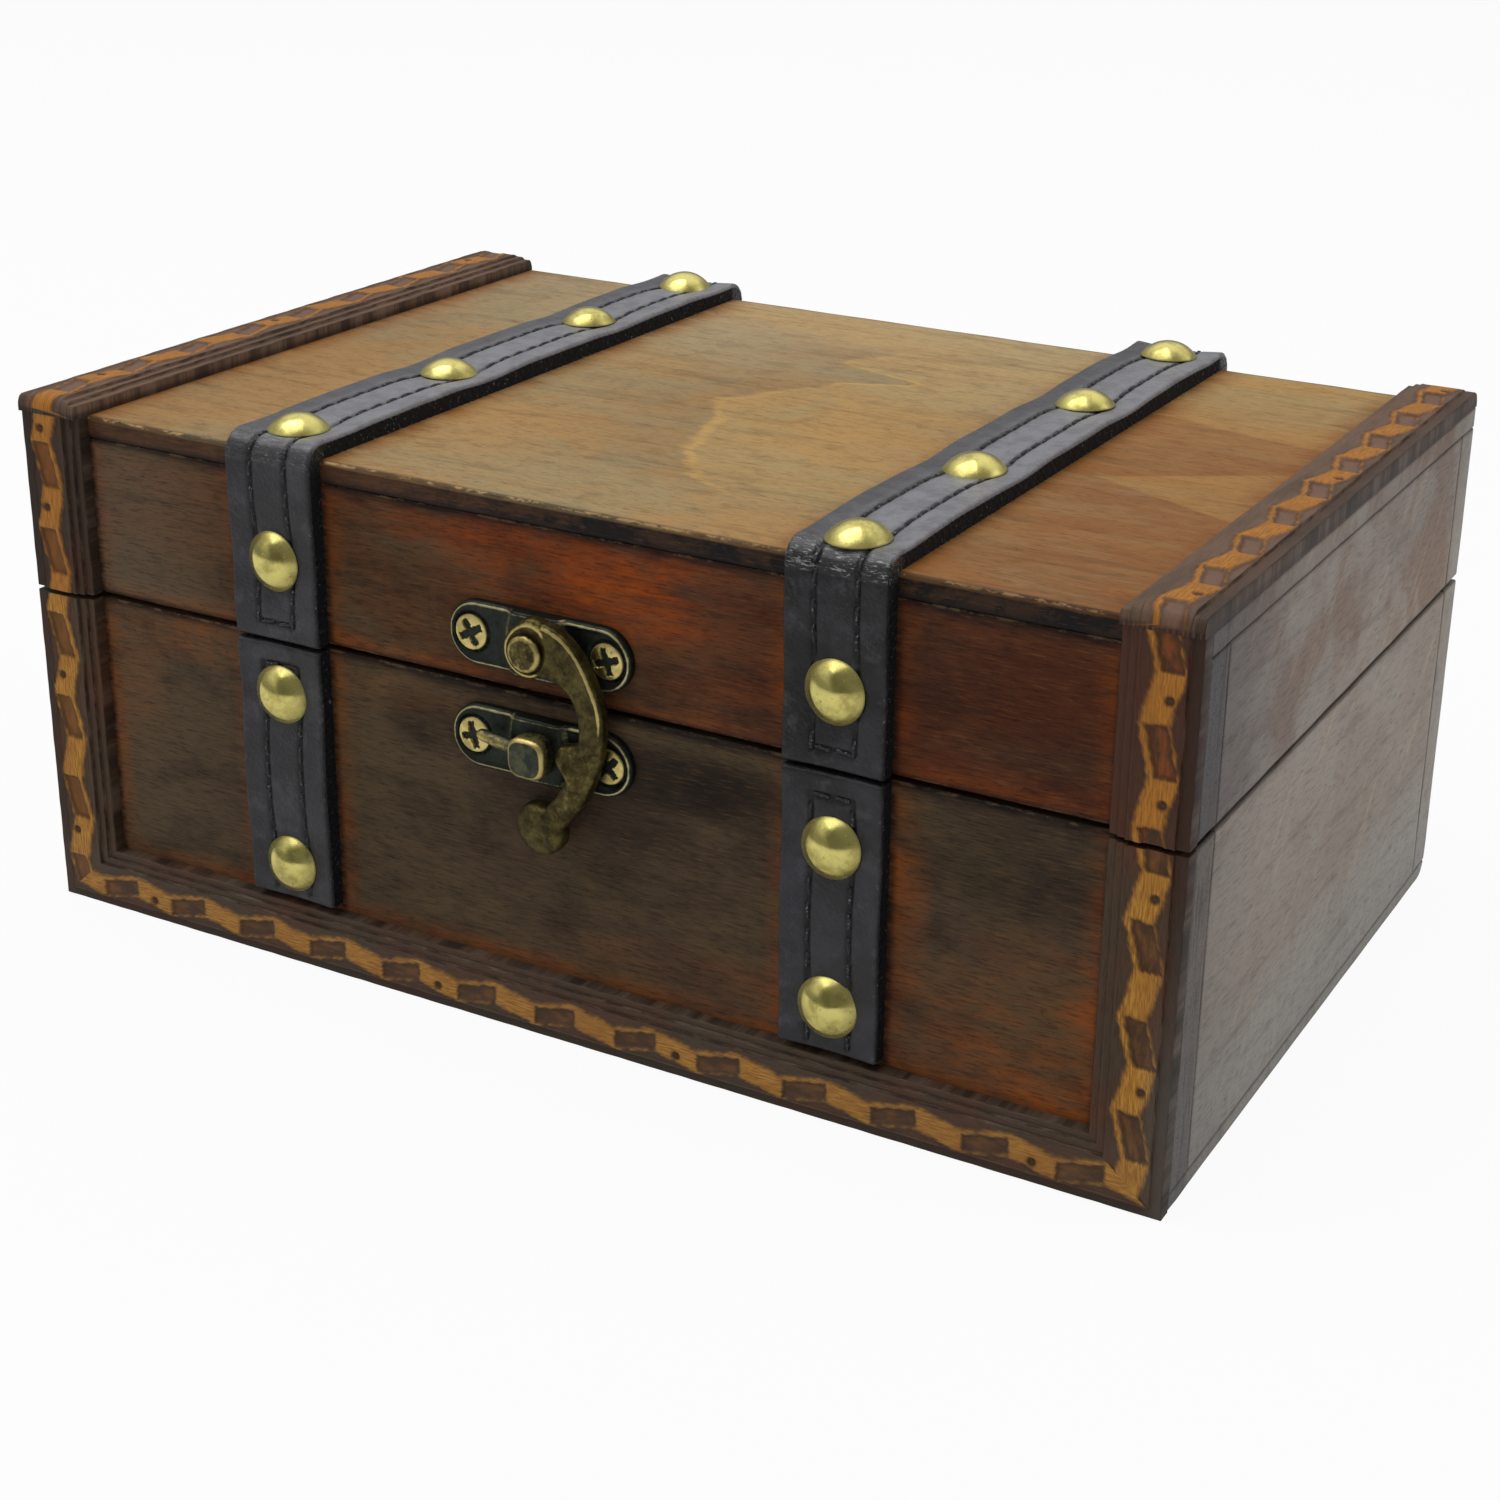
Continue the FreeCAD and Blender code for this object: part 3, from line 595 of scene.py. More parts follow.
def front_finish(name, base_colour, ember, glows, shades, low_edge, high_edge):
    """Front boards: stain with olive clouds, mahogany on the right of the lid, glows of the ember colour,
    orange along the trim, dark blotches, shades that are painted shadow by the latch and darker patches
    elsewhere, haze on the left and painted contact shade along the trim and under the top board."""
    f = Finish(name)
    cloud = f.streaks((0.5, 1, 1), 15, 4, 0.55, 0.5)
    flame = f.streaks((0.45, 1, 1), 7, 6, 0.68, 0.5)
    streak = f.streaks((0.12, 1, 1), 1.4, 4, 0.6)
    blotch = f.streaks((0.6, 1, 1), 11, 6, 0.66, 0.6)
    on_lid = f.z.rise(base_height, lid_bottom)
    fire = (0.25 + 0.75 * flame.rise(0.3, 0.66)) * (0.6 + 0.4 * streak.rise(0.35, 0.62))
    burning = f.mix(flame.rise(0.44, 0.72) * 0.45, ember, orange_stain)
    trim = seep(f.x, trim_edges(), 5.5).most(seep(f.z, [low_edge], 4.5)) * fire
    # Painted contact shade under the top board and along the straps and end strips
    top_contact_shade = seep(f.z, [high_edge], 3.0) * (0.4 + 0.6 * f.x.rise(-70, -30))
    corners = seep(f.x, trim_edges(), 1.6).most(top_contact_shade)
    colour = f.coated(
        base_colour,
        (cloud.rise(0.38, 0.62).most(f.x.fall(-100, -40)), olive_stain),
        (on_lid * f.x.rise(-10, 60) * 0.55, mahogany_stain),
        *[(spot(f, glow) * fire * glow.strength, burning) for glow in glows],
        (trim * 0.45, orange_stain),
        (blotch.rise(0.46, 0.7) * 0.42, black_stain),
        *[(spot(f, shade) * shade.strength, black_stain) for shade in shades],
        (f.x.fall(-100, -60) * (0.08 + 0.2 * on_lid), hazy_stain),
        # painted contact shade
        (corners * (0.35 + 0.5 * streak.rise(0.35, 0.6)), black_stain),
    )
    return worn_board(f, colour, "x", 0.15, 0.06)


def top_finish():
    """Top board: golden and olive veneer, mottled brown, with a wavy growth line, a pale tongue and back
    field, rusty on the right and along the trim, and sooty on its front edge."""
    f = Finish("top_veneer")
    cloud = f.streaks((0.6, 1, 1), 22, 4, 0.55, 0.5)
    mottle = f.streaks((0.6, 1, 1), 4, 5, 0.65, 0.5)
    flame = f.streaks((0.3, 1, 1), 6, 5, 0.6, 0.6)
    wander = (f.noise(f.place, 6, 4, 0.6) - 0.5) * line_wander
    past = f.x - course(f.y, growth_line) + wander
    reach = abs(f.y - 1).fall(42, 52)
    back_field = (f.y + back_field_slope * f.x - back_field_start + wander).rise(-0.6, 0.6)
    from_tip = f.x - tongue_tip_x
    aside = f.y - tongue_tip_y
    tongue = (tongue_back_slope * from_tip - aside).least(tongue_front_slope * from_tip + aside)
    right_part = f.x.rise(48, 74) * f.y.fall(0, 80)
    trim = seep(f.x, trim_edges(), 8.0)
    below = top_face - f.z
    front_band = below.rise(0.4, 1.0) * (f.y - front_face).fall(0.2, 0.6)
    rightwards = f.x.rise(-60, 30)
    sooty = 0.05 + 0.6 * rightwards + (0.3 + 0.3 * rightwards) * mottle.rise(0.4, 0.6)
    colour = f.coated(
        golden_top,
        (cloud.rise(0.35, 0.65), olive_top),
        (f.y.rise(0, 75) * f.x.fall(30, 70) * 0.45, faded_top),
        (past.fall(-3, 1) * past.rise(-40, -6) * reach * 0.16, brown_stain),
        (past.rise(-1, 3) * past.fall(10, 60) * reach * 0.25, pale_top),
        (mottle.rise(0.48, 0.7) * 0.28, brown_stain),
        (abs(past).fall(0.1, 2.2) * reach * (0.3 + 0.5 * cloud.rise(0.4, 0.6)), pale_top),
        (right_part * (0.62 + 0.2 * flame.rise(0.4, 0.6)), rusty_top),
        (back_field.most(tongue.rise(-0.5, 0.5)) * 0.25, pale_top),
        (f.x.fall(-95, -60) * 0.2, brown_stain),
        (trim * (0.25 + 0.5 * flame.rise(0.35, 0.6)), rusty_top),
        (front_band, f.mix(sooty, brown_stain, black_stain)),
    )
    chipped = below.fall(0.3, 1.0) * (0.5 + 0.4 * f.x.fall(-40, 60))
    return worn_board(f, colour, "x", chipped, 0.14, 0.3)


def end_finish(name, along):
    """End, back and bottom boards: the stain of the ends with its painted grey sheen, and pale scratches
    along the grain.
    """
    f = Finish(name)
    scratch = f.streaks(drawn_out(along, 0.05), 1.1, 2).rise(0.66, 0.72)
    where = f.noise(f.place, 25, 3).rise(0.5, 0.6)
    colour = f.mix(scratch * where * 0.6, end_colour(f), pale_wood)
    return worn_board(f, colour, along, 0.2, 0.25, 0.35)


strip_dark = paint(78, 61, 45)
strip_red = paint(92, 55, 34)
strip_ruddy = paint(104, 50, 26)
strip_gold = paint(192, 140, 54)
strip_amber = paint(152, 98, 36)
strip_burnt = paint(46, 34, 28)
# The pale grey of the strips is dusty wear, painted sheen and painted highlights
strip_dust_sheen_and_highlight = paint(150, 146, 138)
strip_dusty = paint(122, 96, 78)
hollow_dark = paint(78, 52, 31)
hollow_brown = paint(116, 76, 38)


def strip_finish():
    """Carved strips: brown stain, a golden ribbon with fibres along the strip and burnt edges, brown hollows
    with a red glow on the lid, a dusty look on the top, pale grey low down that is dusty wear and painted
    sheen on the outer right, and edges that are dark or carry painted highlights."""
    f = Finish("carved_strip")
    run = f.drawn("along")
    side = f.drawn("across")
    edge = f.drawn("edge")
    fibre = f.noise(f.joined(run * 0.1, side, 0.0), 0.3, 4, 0.7)
    patch = f.noise(f.joined(run * 0.5, side, 7.0), 9, 3)
    worn = f.noise(f.joined(run * 0.07, side, 3.0), 0.5, 4, 0.75)
    ember = f.noise(f.joined(run * 0.4, side, 11.0), 2.2, 4, 0.6)
    on_lid = f.z.rise(base_height - 1, lid_bottom + 1)
    on_top = f.z.rise(top_face + 0.4, top_face + 1.6)
    in_front = 1 - on_top
    # Pale grey low down: dusty wear, and painted sheen on the outer right of the right strips
    low_dust_and_sheen = (f.z.fall(8, 18) * 0.06).most(f.x.rise(106, 112) * f.z.fall(10, 60) * 0.16)
    hollow = f.coated(
        hollow_dark,
        (ember.rise(0.4, 0.66), f.mix(on_lid * 0.5, hollow_brown, red_stain)),
        (fibre.rise(0.5, 0.7) * 0.35, strip_burnt),
        (on_top * 0.75, strip_dusty),
        (f.x.fall(-108, -96) * in_front * 0.4, strip_amber),
    )
    ribbon = f.coated(
        strip_gold,
        (on_lid * 0.4, orange_stain),
        (fibre.rise(0.38, 0.62), strip_amber),
        (fibre.rise(0.6, 0.72) * 0.5, strip_burnt),
        (worn.rise(0.6, 0.72) * 0.4, strip_burnt),
        (patch.rise(0.5, 0.74) * 0.5, strip_amber),
    )
    colour = f.coated(
        strip_dark,
        (patch.rise(0.42, 0.66) * 0.7, strip_red),
        (fibre.rise(0.42, 0.66) * 0.4, strip_burnt),
        (on_lid * in_front * 0.45, strip_burnt),
        (on_lid * in_front * f.x.rise(60, 90) * 0.25, strip_ruddy),
        (on_top * (0.3 + 0.4 * patch.rise(0.35, 0.6)), strip_dusty),
        (f.drawn("gold"), ribbon),
        (f.drawn("hollow"), hollow),
        (f.drawn("burn") * (0.2 + 0.45 * ember.rise(0.35, 0.6)), strip_burnt),
        (side.fall(1.6, 2.0) * 0.45, black_stain),
        (low_dust_and_sheen, strip_dust_sheen_and_highlight),
        (edge * worn.fall(0.4, 0.55) * 0.7, black_stain),
        # painted highlights along the worn step edges
        (edge.rise(0.4, 0.9) * worn.rise(0.5, 0.66) * 0.16, strip_dust_sheen_and_highlight),
        (f.drawn("pit") * 0.85, black_stain),
    )
    height = 0.09 * fibre - 0.1 * edge * worn
    return f.surface(colour, 0.4 + 0.25 * fibre, height, Specular_IOR_Level=0.2)


# Leather, thread and metals

leather_black = paint(22, 21, 23)
leather_grey = paint(54, 53, 58)
leather_raw = paint(18, 19, 21)
# The pale leather colour serves the raw fibres and painted glints
leather_fluff_and_glint = paint(178, 182, 184)
# The light grey leather colour is the painted sheen of the top
leather_top_sheen = paint(134, 134, 139)
leather_scuffed = paint(84, 82, 87)
thread_black = paint(16, 16, 18)
brass_gold = paint(226, 214, 128)
brass_pale = paint(224, 204, 132)
brass_dull = paint(150, 134, 70)
brass_speck = paint(52, 44, 24)
# Near black for painted shade and grime on the metals and for the dark grain of the bronze
dirt_and_shade_black = paint(8, 8, 8)
plate_dark = paint(44, 46, 40)
plate_green = paint(52, 58, 53)
# The bright edge colours of the bronzes stand for worn metal and painted highlights
plate_worn_and_highlight = paint(186, 178, 130)
hook_dark = paint(56, 48, 26)
hook_olive = paint(106, 95, 54)
stud_grey = paint(98, 98, 74)
bronze_worn_and_highlight = paint(200, 180, 112)
steel_dark = paint(70, 60, 54)


def leather_finish():
    """Grained black leather with a painted pale sheen on the top, scuffed on the left and lower down, creased
    at the bends where it has a clear coat and painted glints, with painted shade in the seam grooves and raw
    fibrous sides."""
    f = Finish("strap_leather_black")
    pebble = f.cells(f.place, 0.7)
    fine = f.noise(f.place, 0.35, 4, 0.7)
    cloud = f.noise(f.place, 9, 3)
    scuff = f.noise(f.place, 3.5, 5, 0.7)
    fluff = f.noise(f.place, 0.8, 5, 0.8).rise(0.6, 0.74)
    crease = f.streaks((0.45, 2.0, 2.0), 0.9, 4, 0.65, 1.0)
    raw = f.drawn("raw")
    bend = f.drawn("bend")
    on_top = f.z.rise(top_face + 1.6, top_face + 3.0)
    on_right = f.x.rise(-1, 1)
    aside = f.x - strap_middles["left"] - (strap_middles["right"] - strap_middles["left"]) * on_right
    # Painted sheen on the top of the straps, weaker on their left part
    top_sheen = (0.3 + 0.7 * aside.rise(-6.5, -1.5)) * (0.7 + 0.3 * scuff.rise(0.35, 0.6))
    colour = f.coated(
        leather_black,
        (cloud.rise(0.4, 0.65) * 0.6, leather_grey),
        (scuff.rise(0.5, 0.68) * 0.35, leather_scuffed),
        (f.x.fall(-20, 20).most(f.z.fall(40, 70)) * 0.2, leather_scuffed),
        (on_top * top_sheen, leather_top_sheen),
        # painted shade in the grooves of the seams
        (f.drawn("seam") * 0.8, thread_black),
        (raw, f.mix(fluff * 0.5, leather_raw, leather_fluff_and_glint)),
        (f.drawn("rim") * fluff, leather_fluff_and_glint),
        # painted glints on the creases of the bends, stronger on the right strap
        (bend * crease.rise(0.54, 0.64) * (0.25 + 0.5 * on_right), leather_fluff_and_glint),
    )
    height = 0.08 * pebble + 0.07 * fine + 0.06 * scuff + 0.8 * bend * crease + 0.5 * raw * fine
    roughness = 0.24 + 0.14 * cloud + 0.2 * fine + 0.4 * raw - 0.1 * bend
    return f.surface(colour, roughness, height, Specular_IOR_Level=0.32, Coat_Weight=0.5 * bend,
                     Coat_Roughness=0.2)


def thread_finish():
    """Dark waxed thread with the twist of its strands and painted pale glints."""
    f = Finish("strap_thread")
    strand = f.noise(f.place, 0.4, 4, 0.7)
    colour = f.coated(
        thread_black,
        (strand.rise(0.45, 0.6) * 0.5, leather_grey),
        # painted glints on the strands
        (strand.rise(0.58, 0.68) * 0.7, leather_fluff_and_glint),
    )
    return f.surface(colour, 0.4 + 0.3 * strand, 0.16 * strand)


def metal_finish(name, bright, dull, roughness):
    """Plated metal: a bright coat gone dull in thin patches, dark specks, and grime with painted shade in the
    hollows and round the rims.
    """
    f = Finish(name)
    patch = f.noise(f.place, 3.2, 5, 0.65)
    fine = f.noise(f.place, 0.5, 4, 0.7)
    specks = f.noise(f.place, 1.1, 5, 0.8).rise(0.63, 0.72)
    # Painted shade and grime: dark rims of the tacks and the crosses of the screws
    dirt_and_shade = f.drawn("dirt_and_shade")
    colour = f.coated(
        bright,
        (patch.rise(0.42, 0.68) * 0.65, dull),
        (specks * 0.8, brass_speck),
        (dirt_and_shade, dirt_and_shade_black),
    )
    rough = roughness + 0.1 * patch.rise(0.4, 0.7) + 0.2 * specks + 0.5 * dirt_and_shade
    return f.surface(colour, rough, 0.012 * fine - 0.03 * specks, Metallic=1 - dirt_and_shade, Specular_IOR_Level=0.2)


def bronze_finish(name, dark, light, rubbed_and_highlight_colour):
    """Antique bronze: a coat in two tones with dark grain, worn through to bright metal in patches, most on
    the edges, where the bright colour also serves as painted highlights.
    """
    f = Finish(name)
    patch = f.noise(f.place, 2.4, 5, 0.7)
    fine = f.noise(f.place, 0.7, 5, 0.7)
    # bright worn edges, which also serve as painted highlights
    rubbed_and_highlight = (f.drawn("edge") * 1.15 + patch * 0.7 + fine * 0.8 - 1.12).rise(0.0, 0.5)
    colour = f.coated(
        dark,
        (patch.rise(0.34, 0.7), light),
        (fine.rise(0.5, 0.72) * 0.45, dirt_and_shade_black),
        (rubbed_and_highlight, rubbed_and_highlight_colour),
    )
    return f.surface(colour, 0.42 - 0.12 * rubbed_and_highlight + 0.16 * fine, 0.08 * fine, Metallic=0.9)


def pin_finish():
    """Headless steel pins, browned by the stain."""
    f = Finish("browned_steel")
    fine = f.noise(f.place, 0.4, 3)
    colour = f.mix(fine.rise(0.4, 0.6), steel_dark, strip_red)
    return f.surface(colour, 0.4 + 0.2 * fine, 0.03 * fine, Metallic=0.6)


# Boards

# Patches of the front boards: glows are red and orange stain; shades are dark patches, painted shadow where
# they lie below the latch plate and round the catch, only darker elsewhere
Patch = namedtuple("Patch", "x z wide high strength")
lid_glows = [Patch(7, 86, 38, 14, 1.0), Patch(14, 89, 20, 9, 0.5), Patch(34, 74, 28, 9, 0.2),
             Patch(-22, 90, 26, 6, 0.6), Patch(84, 84, 26, 10, 0.1), Patch(80, 66, 30, 4, 0.2),
             Patch(-86, 84, 30, 14, 0.2)]
lid_shades = [Patch(0, 66, 26, 5, 0.4), Patch(92, 78, 22, 14, 0.25)]
base_glows = [Patch(92, 20, 28, 26, 0.8), Patch(66, 40, 5, 26, 0.6), Patch(50, 17, 60, 9, 0.35),
              Patch(-95, 50, 12, 20, 0.4), Patch(-32, 57, 26, 5, 0.35), Patch(-80, 58, 20, 7, 0.7)]
base_shades = [Patch(26, 53, 26, 8, 0.75), Patch(-27, 53, 12, 7, 0.5), Patch(13, 45, 16, 9, 0.4),
               Patch(0, 34, 60, 12, 0.1), Patch(84, 52, 24, 13, 0.35)]


def board_parts(low, high, seed):
    """Six grids on the sides of a box. Each point goes to the nearest place of a box that is smaller by
    the edge radius and out again by that radius, so every edge is round; the radius wavers a little."""
    near = (0, 0.12, 0.28, 0.5, 1.0, 1.7, 2.6, 4.0)
    axes = [spread(low[axis], high[axis], board_grid, (low[axis], high[axis]), near) for axis in range(3)]
    parts = []
    for axis in range(3):
        first, second = [other for other in range(3) if other != axis]
        for side in (low[axis], high[axis]):
            point = np.empty((len(axes[first]), len(axes[second]), 3))
            point[..., first] = axes[first][:, None]
            point[..., second] = axes[second]
            point[..., axis] = side
            wander = 1 + edge_wander * waver(point.sum(axis=-1), edge_wander_length, seed)
            radius = board_edge_round * wander[..., None]
            core = np.clip(point, low + radius, high - radius)
            away = point - core
            away = away * radius / np.linalg.norm(away, axis=-1, keepdims=True)
            gap = np.sort(np.minimum(point - low, high - point), axis=-1)[..., 1]
            parts.append((core + away, {"edge": np.exp(-gap / edge_wear)}, False))
    return parts


def rolled(points):
    """Lower back edge of the base: its square corner drawn in to a quarter circle."""
    over_y = np.maximum(points[..., 1] - (back_face - lower_back_round), 0)
    over_z = np.maximum(lower_back_round - points[..., 2], 0)
    pull = 1 - np.maximum(over_y, over_z) / np.maximum(np.hypot(over_y, over_z), 1e-9)
    return points + gridded(0, -over_y * pull, over_z * pull)


def boards():
    """Every panel as a board in its own finish."""
    lid_front = front_finish("lid_front_stain", brown_stain, red_stain, lid_glows, lid_shades,
                             lid_bottom, top_under)
    base_front = front_finish("base_front_stain", dull_stain, amber_stain, base_glows, base_shades,
                              bottom_strip_width, base_height)
    top = top_finish()
    end = end_finish("end_stain_and_sheen", "y")
    back = end_finish("back_stain_and_sheen", "x")
    plan = {
        "base_bottom": back, "base_front": base_front, "base_back": back, "base_left_end": end,
        "base_right_end": end, "lid_top": top, "lid_front": lid_front, "lid_back": back, "lid_left_end": end,
        "lid_right_end": end,
    }
    for seed, (key, finish) in enumerate(plan.items()):
        node = key + "_panel"
        parts = board_parts(*span(node), seed)
        if key in ("base_bottom", "base_back"):
            parts = [(rolled(points), values, tube) for points, values, tube in parts]
        piece(key + "_board", parts, key.split("_")[0], [node], finish)


# Carved strips

def strip_section(width):
    """Places across a strip, the height there and how near a worn edge it is: a smooth step up near the
    outer edge, two down towards the inner edge, and both edges rounded."""
    inner = strip_width - 2 * inner_step
    edges = np.array([0, outer_step, inner, inner + inner_step, strip_width]) * (width / strip_width)
    across = spread(0, width, 0.28, edges, (0, 0.08, 0.16, 0.3))
    steps = [ease((across - edge) / step_slope + 0.5) for edge in edges[1:4]]
    height = strip_thickness - step_depth * (1 - steps[0] + steps[1] + steps[2])
    height = height - quarter_drop(np.minimum(across, width - across), strip_edge_round)
    worn = sum(hump((across - place) / 0.16) for place in edges)
    return across, height, np.minimum(worn, 1)


def ornament(along, across, share, first, seed):
    """How far each place lies inside the golden ribbon and inside the slanted recess of the carving.

    The ribbon sways towards the inner edge over the length of the recess and back over the plain field
    after it; the recess lies in the first of the two and slants the same way. Both edges wobble.
    """
    phase = np.mod(along - first, ornament_period)
    rising = phase / recess_length
    sway = np.where(rising < 1, rising, (ornament_period - phase) / (ornament_period - recess_length))
    middle = outer_step + ornament_width / 2
    wobble = slow_wobble * waver(along + 0.7 * across, slow_wobble_length, seed)
    wobble = wobble + quick_wobble * waver(along - 1.1 * across, quick_wobble_length, seed + 9)
    ribbon_middle = (middle - ribbon_shift + ribbon_swing * (sway - 0.5)) * share
    ribbon = ribbon_width / 2 * share - np.abs(across - ribbon_middle) + wobble
    recess_middle = (middle - recess_shift + recess_slant * (rising - 0.5)) * share
    recess = recess_width / 2 * share - np.abs(across - recess_middle) - wobble
    return ribbon, np.minimum(recess, np.minimum(phase, recess_length - phase) + wobble)


def pin_places(length, first, low, high):
    """Middles of the plain fields that take a pin: near both ends, and evenly between."""
    start = first - math.floor((first + recess_length) / ornament_period) * ornament_period
    starts = np.arange(start, length, ornament_period)
    lower = np.maximum(np.append(starts - ornament_period, starts[-1]) + recess_length, low)
    upper = np.append(np.minimum(starts, high), high)
    middles = ((lower + upper) / 2)[upper - lower >= pin_field]
    count = min(len(middles), max(2, round(length / pin_spacing)))
    return middles[np.unique(np.round(np.linspace(0, len(middles) - 1, count)).astype(int))]


def pin_heads(pins, share, seat):
    """Low domes of the pins at the bottom of their pits."""
    head = spun([(0, 0.1), (0.6 * pin_radius, 0.05), (pin_radius, -0.1), (pin_radius, -pin_length),
                 (0, -pin_length)], 12)
    head = head + (0, pin_inset * share, strip_thickness - pin_pit_depth)
    return [(set_on(head + (pin, 0, 0), *seat), {}, True) for pin in pins]


def strip_parts(key, seat, length, width, clear, cuts, rounds, seed):
    """Stepped section carried along a strip with the carving cut into it, and its pins.

    The seat is the place of the strip's corner and its directions along, across and out. clear is the stretch
    that takes pins, cuts are the slopes of the mitres at the start and the end, and rounds the flats below
    rounded ends.
    """
    share = width / strip_width
    across, section, worn = strip_section(width)
    stations = spread(0, length, 0.36, (0, length), (0, 0.03, 0.12, 0.3, 0.6, 1.0, 1.5)) / length
    start = cuts[0] * across
    run = start + stations[:, None] * (length - cuts[1] * across - start)
    wide = np.broadcast_to(across, run.shape)
    in_ribbon, in_recess = ornament(run, wide, share, first_recess[key], seed)
    ribbon = ease(in_ribbon / ribbon_edge + 0.5)
    recess = ease(in_recess / recess_edge + 0.5)
    face = ease((wide - outer_step * share) / step_slope - 0.5)
    face = face * ease((strip_width - 2 * inner_step) * share - wide)
    zone = face * ease(((outer_step + ornament_width) * share - wide) / 0.3 + 0.5)
    pins = pin_places(length, first_recess[key], *clear)
    gaps = np.hypot(run[..., None] - pins, wide[..., None] - pin_inset * share).min(axis=-1)
    pit = ease((pin_pit_radius - gaps) / 0.5)
    height = section - field_depth * (1 - ribbon) * zone - recess_depth * recess * face - pin_pit_depth * pit
    height = height + strip_wave * waver(run, strip_wave_length, seed) * ease(np.minimum(run, length - run))
    for flat, gap in zip(rounds, (run, length - run)):
        height = np.minimum(height, strip_thickness - quarter_drop(gap, strip_thickness - flat))
    ends = hump(run / 0.25) + hump((length - run) / 0.25)
    values = {
        "gold": ribbon * (1 - recess) * zone,
        "hollow": recess * face,
        "burn": np.maximum(hump(in_ribbon / 0.45), hump(in_recess / 0.4)) * zone,
        "pit": pit,
        "edge": np.minimum(np.broadcast_to(worn, run.shape) + 0.3 * ends, 1),
        "along": run + strip_apart * seed,
        "across": wide,
    }
    values = {name: np.pad(value, ((0, 0), (1, 1)), mode="edge") for name, value in values.items()}
    loops = footed(gridded(run, wide, height))
    return [(set_on(loops, *seat), values, True)], pin_heads(pins, share, seat)


def strips():
    """The seven carved strips and their pins."""
    finish = strip_finish()
    steel = pin_finish()
    mitre = bottom_strip_width / strip_width
    length = 2 * half_length
    lid_length = top_face - lid_bottom
    depth_way = back_face - strip_front
    square = (0, 0)
    whole = (strip_thickness, strip_thickness)
    front_round = strip_thickness - front_end_flat
    back_round = strip_thickness - back_end_flat
    left_top = (-half_length, front_face, base_height)
    plan = {
        "base_right": (((half_length, front_face, 0), up, left, to_front), base_height, strip_width,
                       (bottom_strip_width, base_height), (mitre, 0), whole),
        "base_left": ((left_top, down, right, to_front), base_height, strip_width,
                      (0, base_height - bottom_strip_width), (0, mitre), whole),
        "base_bottom": (((-half_length, front_face, 0), right, up, to_front), length, bottom_strip_width,
                        (strip_width, length - strip_width), (1 / mitre, 1 / mitre), whole),
        "lid_right": (((half_length, front_face, lid_bottom), up, left, to_front), lid_length, strip_width,
                      (0, lid_length), square, whole),
        "lid_left": (((-half_length, front_face, top_face), down, right, to_front), lid_length, strip_width,
                     (0, lid_length), square, whole),
        "lid_top_right": (((half_length, strip_front, top_face), to_back, left, up), depth_way, strip_width,
                          (front_round, depth_way - back_round), square, (front_end_flat, back_end_flat)),
        "lid_top_left": (((-half_length, back_face, top_face), to_front, right, up), depth_way, strip_width,
                         (back_round, depth_way - front_round), square, (back_end_flat, front_end_flat)),
    }
    heads = {"base": [], "lid": []}
    for seed, (key, facts) in enumerate(plan.items()):
        body = key.split("_")[0]
        strip, pins = strip_parts(key, *facts, seed)
        heads[body] += pins
        piece(key + "_moulding", strip, body, [key + "_strip"], finish, 50)
    for body, parts in heads.items():
        piece(body + "_moulding_pins", parts, body, [body + "_strip_pins"], steel)


# Leather straps

def lid_route():
    """Back of a lid strap as (y, z, tilt) along it: up the front, over the top and down the back.
    The tilt is the direction of its outside, from +Y towards +Z."""
    bend = np.linspace(0, math.pi / 2, 14)[1:-1]
    rising = spread(lid_bottom, top_face - top_edge_round, route_step)
    over = spread(front_face + top_edge_round, back_face - top_edge_round, route_step)
    falling = spread(back_strap_end, top_face - top_edge_round, route_step)[::-1]
    front_y = front_face + top_edge_round * (1 - np.cos(bend))
    back_y = back_face - top_edge_round * (1 - np.sin(bend))
    y = [np.full_like(rising, front_face), front_y, over, back_y, np.full_like(falling, back_face)]
    z = [rising, top_face - top_edge_round * (1 - np.sin(bend)), np.full_like(over, top_face),
         top_face - top_edge_round * (1 - np.cos(bend)), falling]
    tilt = [np.full_like(rising, math.pi), math.pi - bend, np.full_like(over, math.pi / 2),
            math.pi / 2 - bend, np.zeros_like(falling)]
    return np.concatenate(y), np.concatenate(z), np.concatenate(tilt)


def base_route():
    """Back of a base strap, from its lower end up to the rim."""
    z = spread(base_strap_end, base_height, route_step)
    return np.full_like(z, front_face), z, np.full_like(z, math.pi)


